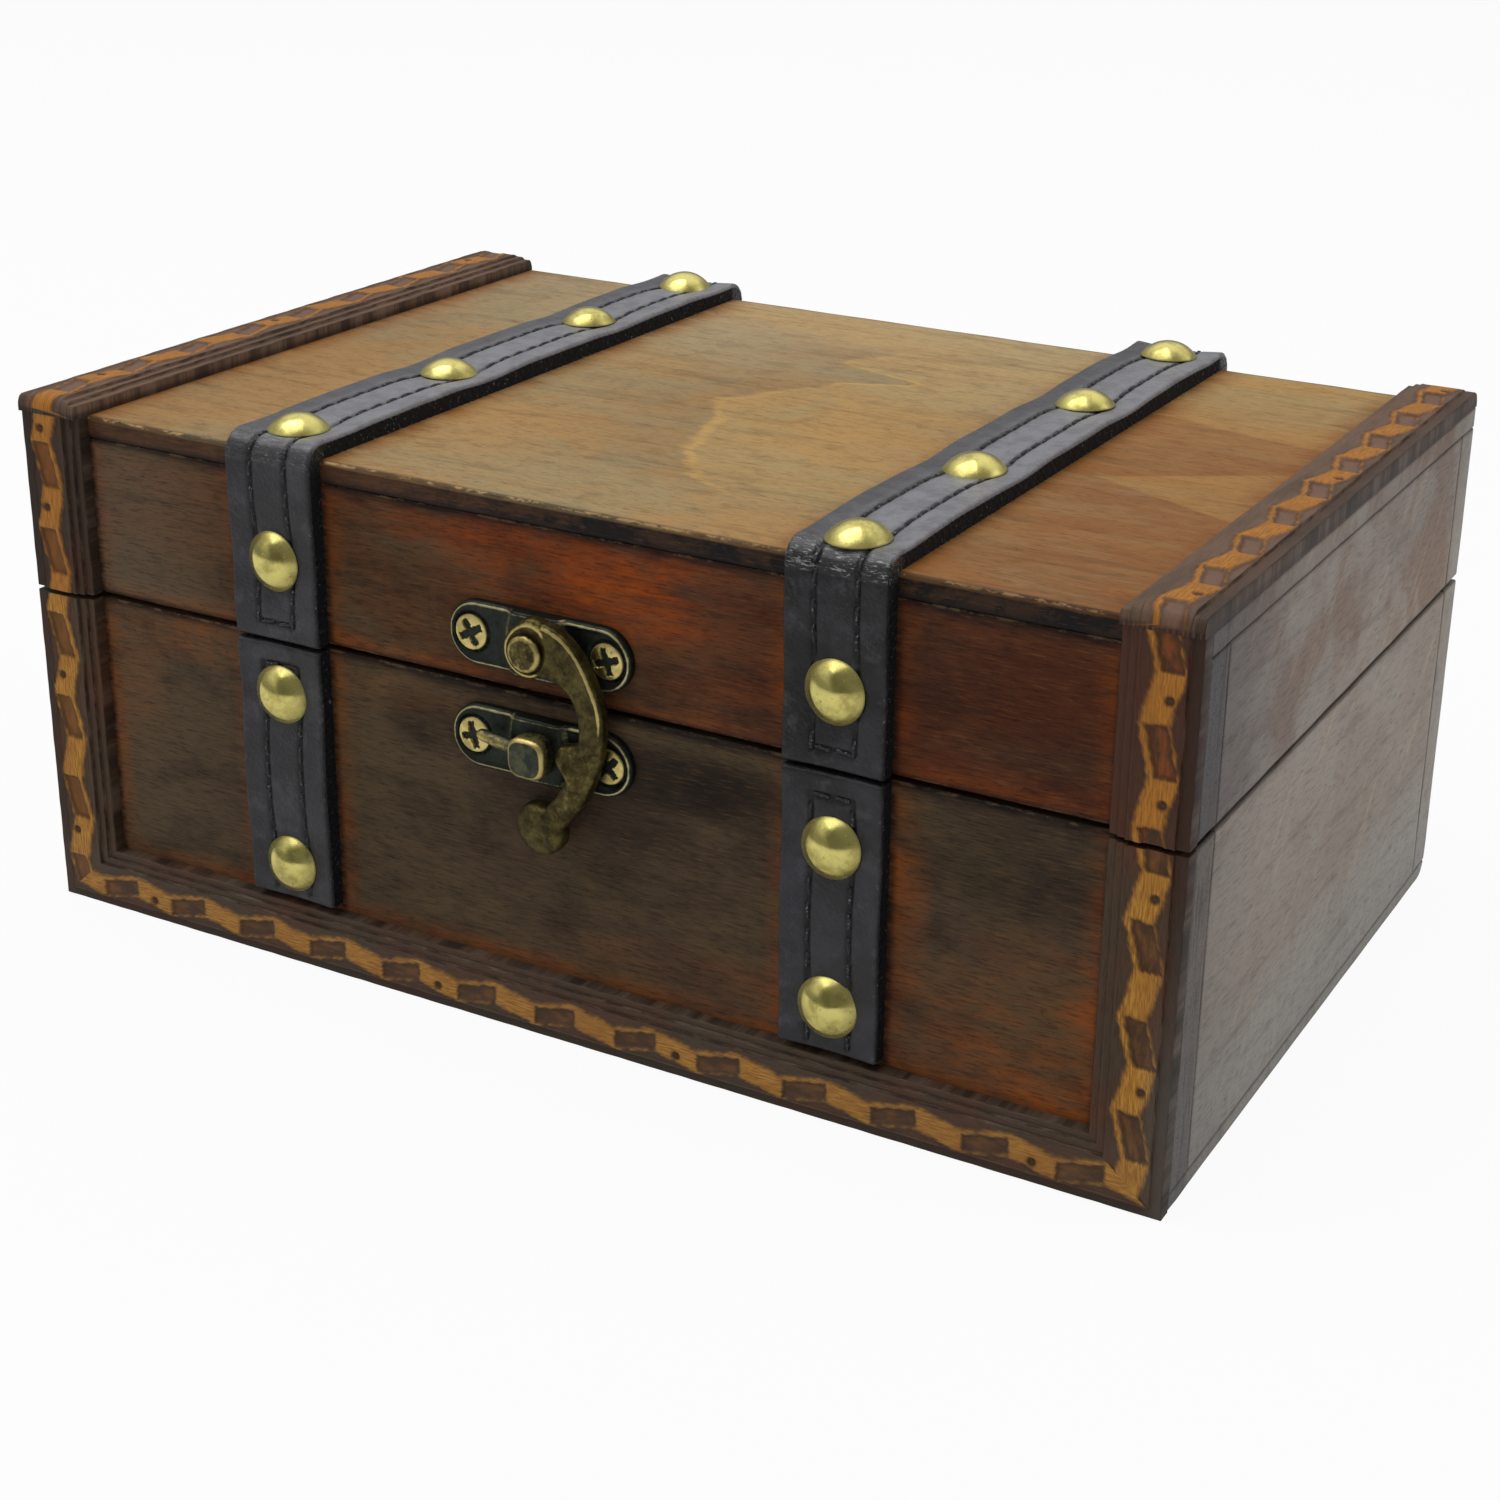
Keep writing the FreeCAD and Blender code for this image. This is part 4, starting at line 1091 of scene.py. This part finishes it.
class Strap:
    """A leather strap on a route, with its tacks and the row of stitches across it."""

    def __init__(self, route, middle, tacks, cross, seed):
        self.y, self.z, self.tilt = route
        self.middle = middle
        self.seed = seed
        face_y = self.y + strap_thickness * np.cos(self.tilt)
        face_z = self.z + strap_thickness * np.sin(self.tilt)
        steps = np.hypot(np.diff(face_y), np.diff(face_z))
        self.run = np.concatenate([[0], np.cumsum(steps)])
        length = self.run[-1]
        away = np.hypot(face_y[:, None] - [tack[0] for tack in tacks],
                        face_z[:, None] - [tack[1] for tack in tacks])
        self.tacks = self.run[away.argmin(axis=0)]
        self.cross = cross if cross >= 0 else length + cross
        if cross >= 0:
            self.sewn = (self.cross - seam_margin, length - seam_margin)
        else:
            self.sewn = (seam_margin, self.cross + seam_margin)

    def groove(self, run, side):
        """1 in the two seams and in the row across, deeper where the thread goes in."""
        seam = hump((np.abs(side) - seam_offset) / seam_width)
        seam = seam * ease((run - self.sewn[0]) / 0.6) * ease((self.sewn[1] - run) / 0.6)
        row = hump((run - self.cross) / seam_width) * ease((seam_offset - np.abs(side)) / 0.4 + 0.5)
        hole = 0.8 - 0.2 * np.cos(2 * math.pi * (run - self.sewn[0] - stitch_length / 2) / stitch_pitch)
        return np.maximum(seam * hole, row)

    def height(self, run, side):
        """Thickness, dimpled at each tack and swelling between them, less a shallow cup and the grooves of
        the seams, with rounded edges."""
        cup = strap_cup * (1 - (side / half_strap) ** 2)
        near = sum(hump((run - tack) / dimple_reach) for tack in self.tacks)
        ends = np.minimum(run, self.run[-1] - run)
        swell = strap_swell * (1 - np.minimum(near, 1)) * ease(ends / dimple_reach)
        dimple = dimple_depth * near * hump(side / dimple_reach)
        drop = quarter_drop(half_strap - np.abs(side), strap_edge_round) + quarter_drop(ends, strap_end_round)
        drift = strap_drift * (waver(run, strap_drift_length, self.seed) + 1) * np.square(side / half_strap)
        return strap_thickness + swell - cup - dimple - seam_groove * self.groove(run, side) - drop - drift

    def world(self, run, side, height):
        """Points at a run along the strap, a side step and a height above its back."""
        y = np.interp(run, self.run, self.y)
        z = np.interp(run, self.run, self.z)
        tilt = np.interp(run, self.run, self.tilt)
        return gridded(self.middle + side, y + height * np.cos(tilt), z + height * np.sin(tilt))

    def leather(self):
        """Closed section carried along the route: wavering raw sides, and the height above over the face."""
        wide = spread(-half_strap, half_strap, 0.5, (-half_strap, -seam_offset, seam_offset, half_strap),
                      (0, 0.12, 0.25, 0.4, 0.6, 0.9))
        levels = np.array([0, 0.3, 0.62, 0.9])
        side = np.concatenate([np.full(4, -half_strap), wide, np.full(4, half_strap)])
        level = np.concatenate([levels, np.ones_like(wide), levels[::-1]])
        raw = np.concatenate([np.ones(4), np.zeros_like(wide), np.ones(4)])
        run, side = np.broadcast_arrays(self.run[:, None], side)
        rim = hump((half_strap - np.abs(side)) / 0.55)
        fray = side_fray * (waver(run + 9 * level, 1.9, self.seed) - 1) * (raw + rim)
        height = level * self.height(run, side)
        points = self.world(run, side + np.sign(side) * 0.5 * fray, height)
        turning = np.gradient(self.tilt, self.run)
        bend = np.broadcast_to(np.abs(turning)[:, None], run.shape)
        values = {
            "raw": np.broadcast_to(raw, run.shape),
            "rim": rim,
            "bend": ease(bend * 6),
            "seam": self.groove(run, side),
        }
        return [(points, values, True)]

    def stitches(self):
        """Short threads along both seams and across at the end: each a thin tube whose ends dive."""
        share = np.linspace(0, 1, 8)[:, None]
        angle = np.linspace(0, 2 * math.pi, 6, endpoint=False)
        dive = thread_rise - thread_dive * (2 * share - 1) ** 6
        thick = thread_radius * np.sqrt(1 - (2 * share - 1) ** 8)
        round_side = thick * np.cos(angle)
        round_up = thick * np.sin(angle)
        starts = np.arange(self.sewn[0], self.sewn[1] - stitch_length, stitch_pitch)
        clear = np.abs(starts[:, None] + stitch_length / 2 - self.tacks).min(axis=1) > tack_radius - 1
        parts = []
        for row in (-seam_offset, seam_offset):
            for start in starts[clear]:
                lean = 0.22 * math.sin(1.7 * start + row)
                run = start + share * stitch_length + 0 * angle
                side = row + lean * (2 * share - 1)
                height = self.height(run, side) + dive
                parts.append((self.world(run, side + round_side, height + round_up), {}, True))
        for start in (-seam_offset + 0.1, 0.1):
            side = start + share * (seam_offset - 0.2) + 0 * angle
            run = self.cross + 0.3 * math.sin(5 * start + self.middle) * (2 * share - 1) + 0 * side
            height = self.height(run, side) + dive
            parts.append((self.world(run + round_side, side, height + round_up), {}, True))
        return parts


def straps():
    """Leather and stitches of the four straps."""
    leather = leather_finish()
    thread = thread_finish()
    for order, (side, middle) in enumerate(strap_middles.items()):
        lid_tacks = [(strap_front, front_tacks[side][0])]
        lid_tacks += [(y, strap_top) for y in top_tacks[side]]
        lid_tacks.append((strap_back, back_tack))
        base_tacks = [(strap_front, z) for z in front_tacks[side][1:]]
        made = {
            "lid": Strap(lid_route(), middle, lid_tacks, cross_row["lid"], strap_seeds["lid"] + order),
            "base": Strap(base_route(), middle, base_tacks, -cross_row["base"], strap_seeds["base"] + order),
        }
        for body, strap in made.items():
            name = body + "_" + side
            piece(name + "_leather", strap.leather(), body, [name + "_strap"], leather, 50)
            piece(name + "_stitches", strap.stitches(), body, [], thread)


# Dome tacks

def tack_parts(place, along, across, out, seed):
    """Dome turned from a circular arc down to a thin rim, slightly oval, hardly dented, and tilted."""
    chance = np.random.default_rng(seed)
    radius = (tack_radius ** 2 + tack_height ** 2) / (2 * tack_height)
    arc = np.linspace(0, math.asin(tack_radius / radius), 18)
    dome = gridded(radius * np.sin(arc), tack_height - radius * (1 - np.cos(arc)))
    under = [(tack_radius - 0.12, -0.2), (tack_radius - 0.6, -0.25), (0, -0.25)]
    points = spun(np.concatenate([dome, under]), 48)
    lean = chance.uniform(0, 2 * math.pi)
    oval = tack_oval * np.cos(2 * (polar(points)[1] - lean)) - tack_oval
    points = points * (1, 1, 0.97) + points * (1, 1, 0) * oval[..., None]
    dent = tack_dent * waver(points[..., 0] * math.cos(lean) + points[..., 1] * math.sin(lean), 4.0, seed)
    slope = chance.uniform(-tack_tilt, tack_tilt, 2)
    points[..., 2] += dent * ease(points[..., 2]) + points[..., :2] @ slope
    out_share = polar(points)[0] / tack_radius
    # Painted shade round the rim where the tack meets the leather, and a painted darkening towards the rim
    # that stands for dark reflections, partly tarnish
    dirt_and_shade = np.maximum(0.7 * hump((out_share - 1) / 0.05), 0.3 * ease((out_share - 0.55) / 0.45))
    return set_on(points - (0, 0, tack_sink), place, along, across, out), {"dirt_and_shade": dirt_and_shade}, True


def tacks():
    """Tacks of base and lid."""
    finish = metal_finish("tack_brass_bright", brass_gold, brass_dull, 0.13)
    parts = {"base": [], "lid": []}
    seed = tack_seed
    for side, middle in strap_middles.items():
        spots = []
        for height in front_tacks[side]:
            body = "lid" if height > lid_bottom else "base"
            spots.append((body, (middle, strap_front, height), right, up, to_front))
        for y in top_tacks[side]:
            spots.append(("lid", (middle, y, strap_top), right, to_back, up))
        spots.append(("lid", (middle, strap_back, back_tack), left, up, to_back))
        for body, place, along, across, out in spots:
            parts[body].append(tack_parts(place, along, across, out, seed))
            seed += 1
    for body, made in parts.items():
        piece(body + "_tacks", made, body, [body + "_strap_tacks"], finish, 60)


# Latch and catch, worked out flat: right, up and out from the front board

def on_front(points, height):
    """Points of the latch or the catch set on the front board at a height."""
    return set_on(points, (latch_offset, front_face, height), right, up, to_front)


def rim_points(radius, top, places):
    """Profile of a rounded rim from places given as distances in from the radius and down from the top."""
    return [(radius - inward, top - below) for inward, below in places]


def plate_parts(height):
    """Round-ended plate: at each place along it a line from edge to edge, with a rounded and beaded rim,
    a raised middle and a groove round each screw."""
    half = plate_length / 2
    round_end = plate_height / 2
    straight = half - round_end
    along = spread(-half, half, 0.3, (-half, half), (0, 0.03, 0.1, 0.2))[:, None]
    over = np.maximum(np.abs(along) - straight, 0)
    reach = np.sqrt(np.maximum(round_end ** 2 - over ** 2, 0))
    up_way = reach * np.sin(np.linspace(-math.pi / 2, math.pi / 2, 41))
    along = along + 0 * up_way
    inside = round_end - np.hypot(over + 0 * up_way, up_way)
    boss = ease((boss_length / 2 + 0.6 * np.cos(up_way / round_end * 2) - np.abs(along)) / boss_slope + 0.5)
    bead = plate_bead * hump((inside - 0.7) / 0.35)
    from_screw = np.hypot(np.abs(along) - screw_spacing / 2, up_way)
    groove = screw_groove * hump((from_screw - screw_radius - 0.2) / 0.28)
    level = plate_thickness - plate_bead + (boss_height - plate_thickness) * boss
    level = level - quarter_drop(inside, 0.5) + bead * (1 - boss) + plate_bead * boss - groove
    # Bright edges along the rim and the raised middle: worn metal and painted highlights
    edge = np.maximum(hump((inside - 0.5) / 0.22) * (0.85 - 0.3 * boss), 4 * boss * (1 - boss) * 0.5)
    values = {"edge": np.pad(edge, ((0, 0), (1, 1)), mode="constant")}
    return [(on_front(footed(gridded(along, up_way, level)), height), values, True)]


def screw_parts(side, height, turn):
    """Square grid drawn out to a disc: a low dome with a cross sunk into it, and a wall below."""
    lines = (-cross_reach, -cross_width, cross_width, cross_reach)
    even = spread(-1, 1, 0.06, lines, (0.0, 0.03, 0.06))
    first, second = np.meshgrid(even, even, indexing="ij")
    a = first * np.sqrt(1 - second ** 2 / 2)
    b = second * np.sqrt(1 - first ** 2 / 2)
    flare = 0.05 * waver(3 * first + 2 * second, 1.1, round(10 * turn))
    long_arm = np.minimum(cross_width - np.abs(first), cross_reach - np.abs(second)) + flare
    cross_arm = np.minimum(cross_width - np.abs(second), cross_reach - np.abs(first)) + flare
    cross = ease(np.maximum(long_arm, cross_arm) / 0.08 + 0.5)
    inside = 1 - np.hypot(a, b)
    level = plate_thickness - 0.1 + screw_dome * (1 - np.hypot(a, b) ** 2) - cross_depth * cross
    level = level - quarter_drop(np.maximum(inside, 0) * screw_radius, 0.25)
    middle = side * screw_spacing / 2
    wide = screw_radius * (a * math.cos(turn) - b * math.sin(turn)) + middle
    high = screw_radius * (a * math.sin(turn) + b * math.cos(turn))
    top = gridded(wide, high, level)
    low = gridded(wide, high, 0.3)
    rims = [np.concatenate([grid[0], grid[1:, -1], grid[-1, -2::-1], grid[-2::-1, 0]]) for grid in (top, low)]
    # Painted shade in the cross, round the edge of the head and on the hidden wall below
    dirt_and_shade = np.maximum(cross, hump(inside / 0.04))
    grids = [(top, dirt_and_shade), (low, 0 * dirt_and_shade + 1), (np.stack(rims), np.ones((2, len(rims[0]))))]
    return [(on_front(grid, height), {"dirt_and_shade": share}, False) for grid, share in grids]


def rivet_parts():
    """Shank and low domed head, turned from one profile."""
    seat = boss_height + hook_thickness + 2 * hook_play
    top = seat + rivet_head_thickness
    head_rim = ((1.6, 0.03), (0.9, 0.1), (0.5, 0.2), (0.15, 0.4), (0, 0.65))
    profile = [(0, top)] + rim_points(rivet_head_radius, top, head_rim)
    profile += [(rivet_head_radius, seat), (rivet_radius, seat), (rivet_radius, 1), (0, 1)]
    points = spun(profile, 40)
    # Bright edge round the head: worn metal and painted highlight
    edge = hump((polar(points)[0] - rivet_head_radius + 0.35) / 0.3)
    return [(on_front(points, latch_height), {"edge": 0.35 + 0.4 * edge}, True)]


def finger_part():
    """Round finger of the catch, tapering to a round tip."""
    share = np.sin(np.linspace(0, math.pi / 2, 22))
    length = finger_length + finger_radius
    left_over = length * (1 - share)
    tip = np.sqrt(np.clip(1 - (1 - np.minimum(left_over / finger_radius, 1)) ** 2, 0, 1))
    thick = finger_radius * (1.15 - 0.3 * share) * tip
    turn = np.linspace(0, 2 * math.pi, 20, endpoint=False)
    ahead = (share * length)[:, None] + 0 * turn
    aside = thick[:, None] * np.cos(turn)
    finger = gridded(
        -ahead * math.cos(finger_tilt) - aside * math.sin(finger_tilt),
        ahead * math.sin(finger_tilt) - aside * math.cos(finger_tilt),
        boss_height + finger_radius + thick[:, None] * np.sin(turn),
    )
    # Bright stripe along the outer side, growing towards the tip: worn metal and painted highlight
    rubbed_and_highlight = np.broadcast_to(0.2 + 0.6 * share[:, None] * hump((turn - math.pi / 2) / 1.2), ahead.shape)
    return on_front(finger, catch_height), {"edge": rubbed_and_highlight}, True


def stud_parts():
    """Bevelled stud, a rounded square in outline, and its finger."""
    top = boss_height + stud_length
    foot = boss_height - 0.3
    profile = [(0, top)] + rim_points(stud_radius, top, ((0.75, 0), (0.5, 0.06), (0.1, 0.5), (0, 0.8)))
    profile += [(stud_radius, foot), (0, foot)]
    # Bright bevels: worn metal and painted highlights
    rubbed_and_highlight = np.array([0.1, 0.1, 0.8, 1.0, 0.6, 0.3, 0])
    points = spun(profile, 48)
    angle = polar(points)[1]
    corner = np.abs(np.cos(angle)) ** squareness + np.abs(np.sin(angle)) ** squareness
    square = corner ** (-1 / squareness)
    points = points * gridded(square, square, 1)
    edge = np.broadcast_to(rubbed_and_highlight[:, None], angle.shape)
    return [(on_front(points, catch_height), {"edge": edge}, True), finger_part()]


def hook_route(count):
    """Middle of the hook's arm from the rivet to the pad, its direction and its run: one arc out to the
    widest place, a second from there to the pad, and a straight end over the pad."""
    upper_x = (arm_widest ** 2 - arm_drop ** 2) / (2 * arm_widest)
    upper_radius = arm_widest - upper_x
    reach = arm_widest - pad_right
    fall = pad_drop - arm_drop
    lower_radius = (reach ** 2 + fall ** 2) / (2 * reach)
    start = math.atan2(arm_drop, -upper_x)
    end = math.atan2(-fall, pad_right - arm_widest + lower_radius)
    lengths = np.array([0, upper_radius * start, lower_radius * -end])
    ends = np.cumsum(lengths)
    last = ends[2] + pad_radius
    run = spread(arm_start, last, last / count, (last,), (0, 0.02, 0.08, 0.18, 0.3))
    first = np.clip(run, 0, ends[1]) / upper_radius
    second = np.clip(run - ends[1], 0, lengths[2]) / lower_radius
    turn = np.where(run < ends[1], start - first, -second)
    radius = np.where(run < ends[1], upper_radius, lower_radius)
    middle = np.where(run < ends[1], upper_x, arm_widest - lower_radius)
    past = np.maximum(run - ends[2], 0)
    x = middle + radius * np.cos(turn) + past * np.sin(turn)
    z = -arm_drop + radius * np.sin(turn) - past * np.cos(turn)
    return run, x, z, turn, ends[2]


def eye_part(under):
    """Ring round the rivet, turned from a profile with a raised rim. It swells towards the arm's shoulder."""
    top = under + hook_thickness
    bore = rivet_radius + hook_fit
    ring = [(bore, under), (bore, top - 0.35), (bore + 0.2, top - 0.3)]
    eye_rim = ((1.3, 0.3), (1.0, 0.05), (0.7, 0), (0.4, 0.1), (0.12, 0.4), (0, 0.8))
    ring += rim_points(eye_radius, top, eye_rim)
    ring += [(eye_radius, under), (bore, under)]
    eye = spun(ring, 72)
    radius, angle = polar(eye)
    outward = ease((radius - bore - 0.3) / (eye_radius - bore - 0.3))
    swell = shoulder * hump((angle - shoulder_angle) / 0.75) * outward
    eye = eye * gridded(1 + swell / radius, 1 + swell / radius, 1)
    # Bright rim of the eye: worn metal and painted highlight
    on_rim = hump((radius - eye_radius + 0.6) / 0.22) * (eye[..., 2] > top - 1)
    edge = on_rim * ease((np.abs(angle + 0.1) - 0.6) / 0.5)
    return on_front(eye, latch_height), {"edge": edge}, True


def arm_part(under):
    """Arm of the hook: a grid across its route, wider at the shoulder, with a nub on its inner side. It is
    flat with a raised outer rim above, rounder further down, and its end runs out on a domed pad."""
    run, x, z, turn, pad_run = hook_route(120)
    half = arm_width / 2 - 0.25 * ease((run - 12) / 10) * ease((pad_run - run) / 6)
    to_pad = np.sqrt(np.maximum(pad_radius ** 2 - (run - pad_run) ** 2, 0))
    leaving = ease((shoulder_end - run) / shoulder_run)
    nub_run = run[np.argmin(np.abs(z + nub_drop))]
    outer = np.where(run < pad_run, np.maximum(half + (shoulder + 1.2) * leaving, to_pad), to_pad)
    inner = np.where(run < pad_run, np.maximum(half + arm_web * leaving, to_pad), to_pad)
    inner = inner + nub_reach * ease((4.2 - np.abs(run - nub_run)) / 3.2)
    across = np.sin(np.linspace(-math.pi / 2, math.pi / 2, 35))
    side = np.where(across < 0, inner[:, None] * across, outer[:, None] * across)
    right_way = x[:, None] + side * np.cos(turn)[:, None]
    up_way = z[:, None] + side * np.sin(turn)[:, None]
    lower = ease((run - 15) / 9)[:, None]
    outer_gap = outer[:, None] - side
    edge_gap = np.minimum(outer_gap, inner[:, None] + side)
    flat = hook_thickness - 0.2 - quarter_drop(edge_gap, 0.7) + 0.2 * hump((outer_gap - 0.9) / 0.5)
    ridge = np.sqrt(1 - np.square(1 - np.clip(edge_gap / 2.4, 0, 1)))
    fading = ease((pad_run + 3.5 - run) / 5)[:, None]
    rounded = (0.45 + 0.55 * ridge) * (hook_thickness + 0.9 * ease((run - 24) / 6))[:, None] * fading
    level = flat * (1 - lower) + rounded * lower
    to_middle = np.hypot(right_way - pad_right, up_way + pad_drop) / pad_radius
    dome = pad_thickness * (0.3 + 0.45 * np.sqrt(np.clip(1 - np.square(to_middle), 0, 1)))
    level = np.where(to_middle < 1, np.maximum(level, dome), np.maximum(level, 0.4))
    level = level - 0.35 * ease(eye_radius - 0.6 - np.hypot(right_way, up_way))
    loops = footed(gridded(right_way, up_way, under + level), under)
    # Bright outer rim of the flat upper arm and a faint brightening of the round lower arm: worn metal and
    # painted highlights
    fading_rub = 0.32 * lower * ease((pad_run + 1 - run) / 8)[:, None]
    rubbed_and_highlight = np.maximum(hump((outer_gap - 0.6) / 0.3) * (1 - lower), fading_rub)
    rubbed_and_highlight = np.pad(np.maximum(rubbed_and_highlight, 0.12), ((0, 0), (1, 1)), mode="constant")
    return on_front(loops, latch_height), {"edge": rubbed_and_highlight}, True


def latch():
    """Plates, screws, rivet, stud and hook."""
    dark = bronze_finish("plate_bronze", plate_dark, plate_green, plate_worn_and_highlight)
    olive = bronze_finish("hook_bronze", hook_dark, hook_olive, bronze_worn_and_highlight)
    grey = bronze_finish("stud_bronze", plate_green, stud_grey, bronze_worn_and_highlight)
    brass = metal_finish("screw_brass_pale", brass_pale, brass_dull, 0.3)
    for name, body, height, turns in (("latch_plate", "lid", latch_height, (0.5, 0.3)),
                                      ("catch_plate", "base", catch_height, (0.25, 0.75))):
        piece(name + "_bronze", plate_parts(height), body, [name], dark)
        screws = screw_parts(-1, height, turns[0]) + screw_parts(1, height, turns[1])
        piece(name + "_brass_screws", screws, body, [name + "_screws"], brass)
    piece("latch_rivet_bronze", rivet_parts(), "lid", ["latch_rivet"], olive)
    piece("catch_stud_bronze", stud_parts(), "base", ["catch_stud"], grey)
    hook_under = boss_height + hook_play
    hook = [eye_part(hook_under), arm_part(hook_under)]
    piece("latch_hook_bronze", hook, "latch_hook", ["latch_hook"], olive)


def hinges():
    """The hinges keep their solids and get their metals."""
    bronze = bronze_finish("hinge_bronze_dark", plate_dark, plate_green, plate_worn_and_highlight)
    steel = pin_finish()
    for node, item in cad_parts.items():
        if "hinge" in node:
            item.data.materials.clear()
            item.data.materials.append(steel if "pin" in node else bronze)


# Studio

camera_place = (223.44, -397.85, 224.01)
camera_azimuth = math.radians(28.445)
camera_elevation = math.radians(21.546)
camera_roll = math.radians(0.981)
camera_focal = 61.8
camera_shift = (-0.03, -0.0495)

# Floor and lamps, in metres
floor_half = 5
lamp_aim = (0, 0, 0.05)


def camera():
    """Camera at the photograph's place, direction and framing."""
    lens = bpy.data.cameras.new("camera")
    lens.sensor_width = 36
    lens.lens = camera_focal
    lens.shift_x, lens.shift_y = camera_shift
    ahead = Vector((-math.sin(camera_azimuth) * math.cos(camera_elevation),
                    math.cos(camera_azimuth) * math.cos(camera_elevation), -math.sin(camera_elevation)))
    level = Vector((math.cos(camera_azimuth), math.sin(camera_azimuth), 0))
    above = level.cross(ahead)
    sideways = level * math.cos(camera_roll) + above * math.sin(camera_roll)
    turn = Matrix((sideways, sideways.cross(ahead), -ahead)).transposed()
    item = bpy.data.objects.new("camera", lens)
    item.matrix_world = Matrix.Translation(Vector(camera_place) * mm) @ turn.to_4x4()
    bpy.context.scene.collection.objects.link(item)
    bpy.context.scene.camera = item


def lamp(name, place, size, power):
    """Square soft light aimed at the chest."""
    light = bpy.data.lights.new(name, "AREA")
    light.size = size
    light.energy = power
    item = bpy.data.objects.new(name, light)
    item.location = place
    item.rotation_euler = (Vector(lamp_aim) - Vector(place)).to_track_quat("-Z", "Y").to_euler()
    bpy.context.scene.collection.objects.link(item)


def seen(nodes):
    """1 for rays from the camera and for rays by way of metal or glass."""
    rays = [nodes.node("ShaderNodeLightPath", {}, {}, name)
            for name in ("Is Camera Ray", "Is Glossy Ray", "Is Transmission Ray")]
    return rays[0].most(rays[1]).most(rays[2])


def white_world():
    """White light all round. Polished metal sees a darker room behind the camera and low down."""
    world = bpy.data.worlds.new("studio")
    bpy.context.scene.world = world
    world.use_nodes = True
    w = Nodes(world.node_tree)
    way = w.node("ShaderNodeTexCoord", {}, {}, "Generated")
    to_camera = Vector(camera_place).normalized()
    facing = w.node("ShaderNodeVectorMath", {"operation": "DOT_PRODUCT"}, {0: way, 1: to_camera}, "Value")
    glossy = w.node("ShaderNodeLightPath", {}, {}, "Is Glossy Ray")
    height = w.node("ShaderNodeSeparateXYZ", {}, {0: way}, 2)
    room = 1 - glossy * (0.85 * facing.rise(0.2, 0.8)).most(0.75 * height.fall(0.15, 0.75))
    shade = w.mix(room, (0, 0, 0, 1), (1, 1, 1, 1))
    light = w.node("ShaderNodeBackground", {}, {"Color": (1, 1, 1, 1), "Strength": 0.45})
    white = w.node("ShaderNodeBackground", {}, {"Color": shade, "Strength": 1.0})
    both = w.node("ShaderNodeMixShader", {}, {0: seen(w), 1: light, 2: white})
    w.node("ShaderNodeOutputWorld", {}, {"Surface": both})


def white_floor():
    """Matt floor that the camera sees nearly white."""
    material = bpy.data.materials.new("floor_white")
    material.use_nodes = True
    f = Nodes(material.node_tree)
    matt = f.node("ShaderNodeBsdfDiffuse", {}, {"Color": (0.85, 0.85, 0.85, 1)})
    glow = f.node("ShaderNodeEmission", {}, {"Color": (1, 1, 1, 1), "Strength": 1.0})
    pale = f.node("ShaderNodeMixShader", {}, {0: 0.93, 1: matt, 2: glow})
    camera_ray = f.node("ShaderNodeLightPath", {}, {}, "Is Camera Ray")
    both = f.node("ShaderNodeMixShader", {}, {0: camera_ray, 1: matt, 2: pale})
    f.node("ShaderNodeOutputMaterial", {}, {"Surface": both})
    corners = [(-floor_half, -floor_half, 0), (floor_half, -floor_half, 0), (floor_half, floor_half, 0),
               (-floor_half, floor_half, 0)]
    mesh = bpy.data.meshes.new("floor")
    mesh.from_pydata(corners, [], [(0, 1, 2, 3)])
    mesh.materials.append(material)
    floor = bpy.data.objects.new("floor", mesh)
    bpy.context.scene.collection.objects.link(floor)


boards()
strips()
straps()
tacks()
latch()
hinges()
camera()
white_world()
white_floor()
lamp("lamp_above", (-0.35, -0.25, 1.3), 1.1, 9.0)
lamp("lamp_right", (1.2, 0.5, 0.7), 0.9, 3.0)
bpy.context.scene.view_settings.view_transform = "Standard"
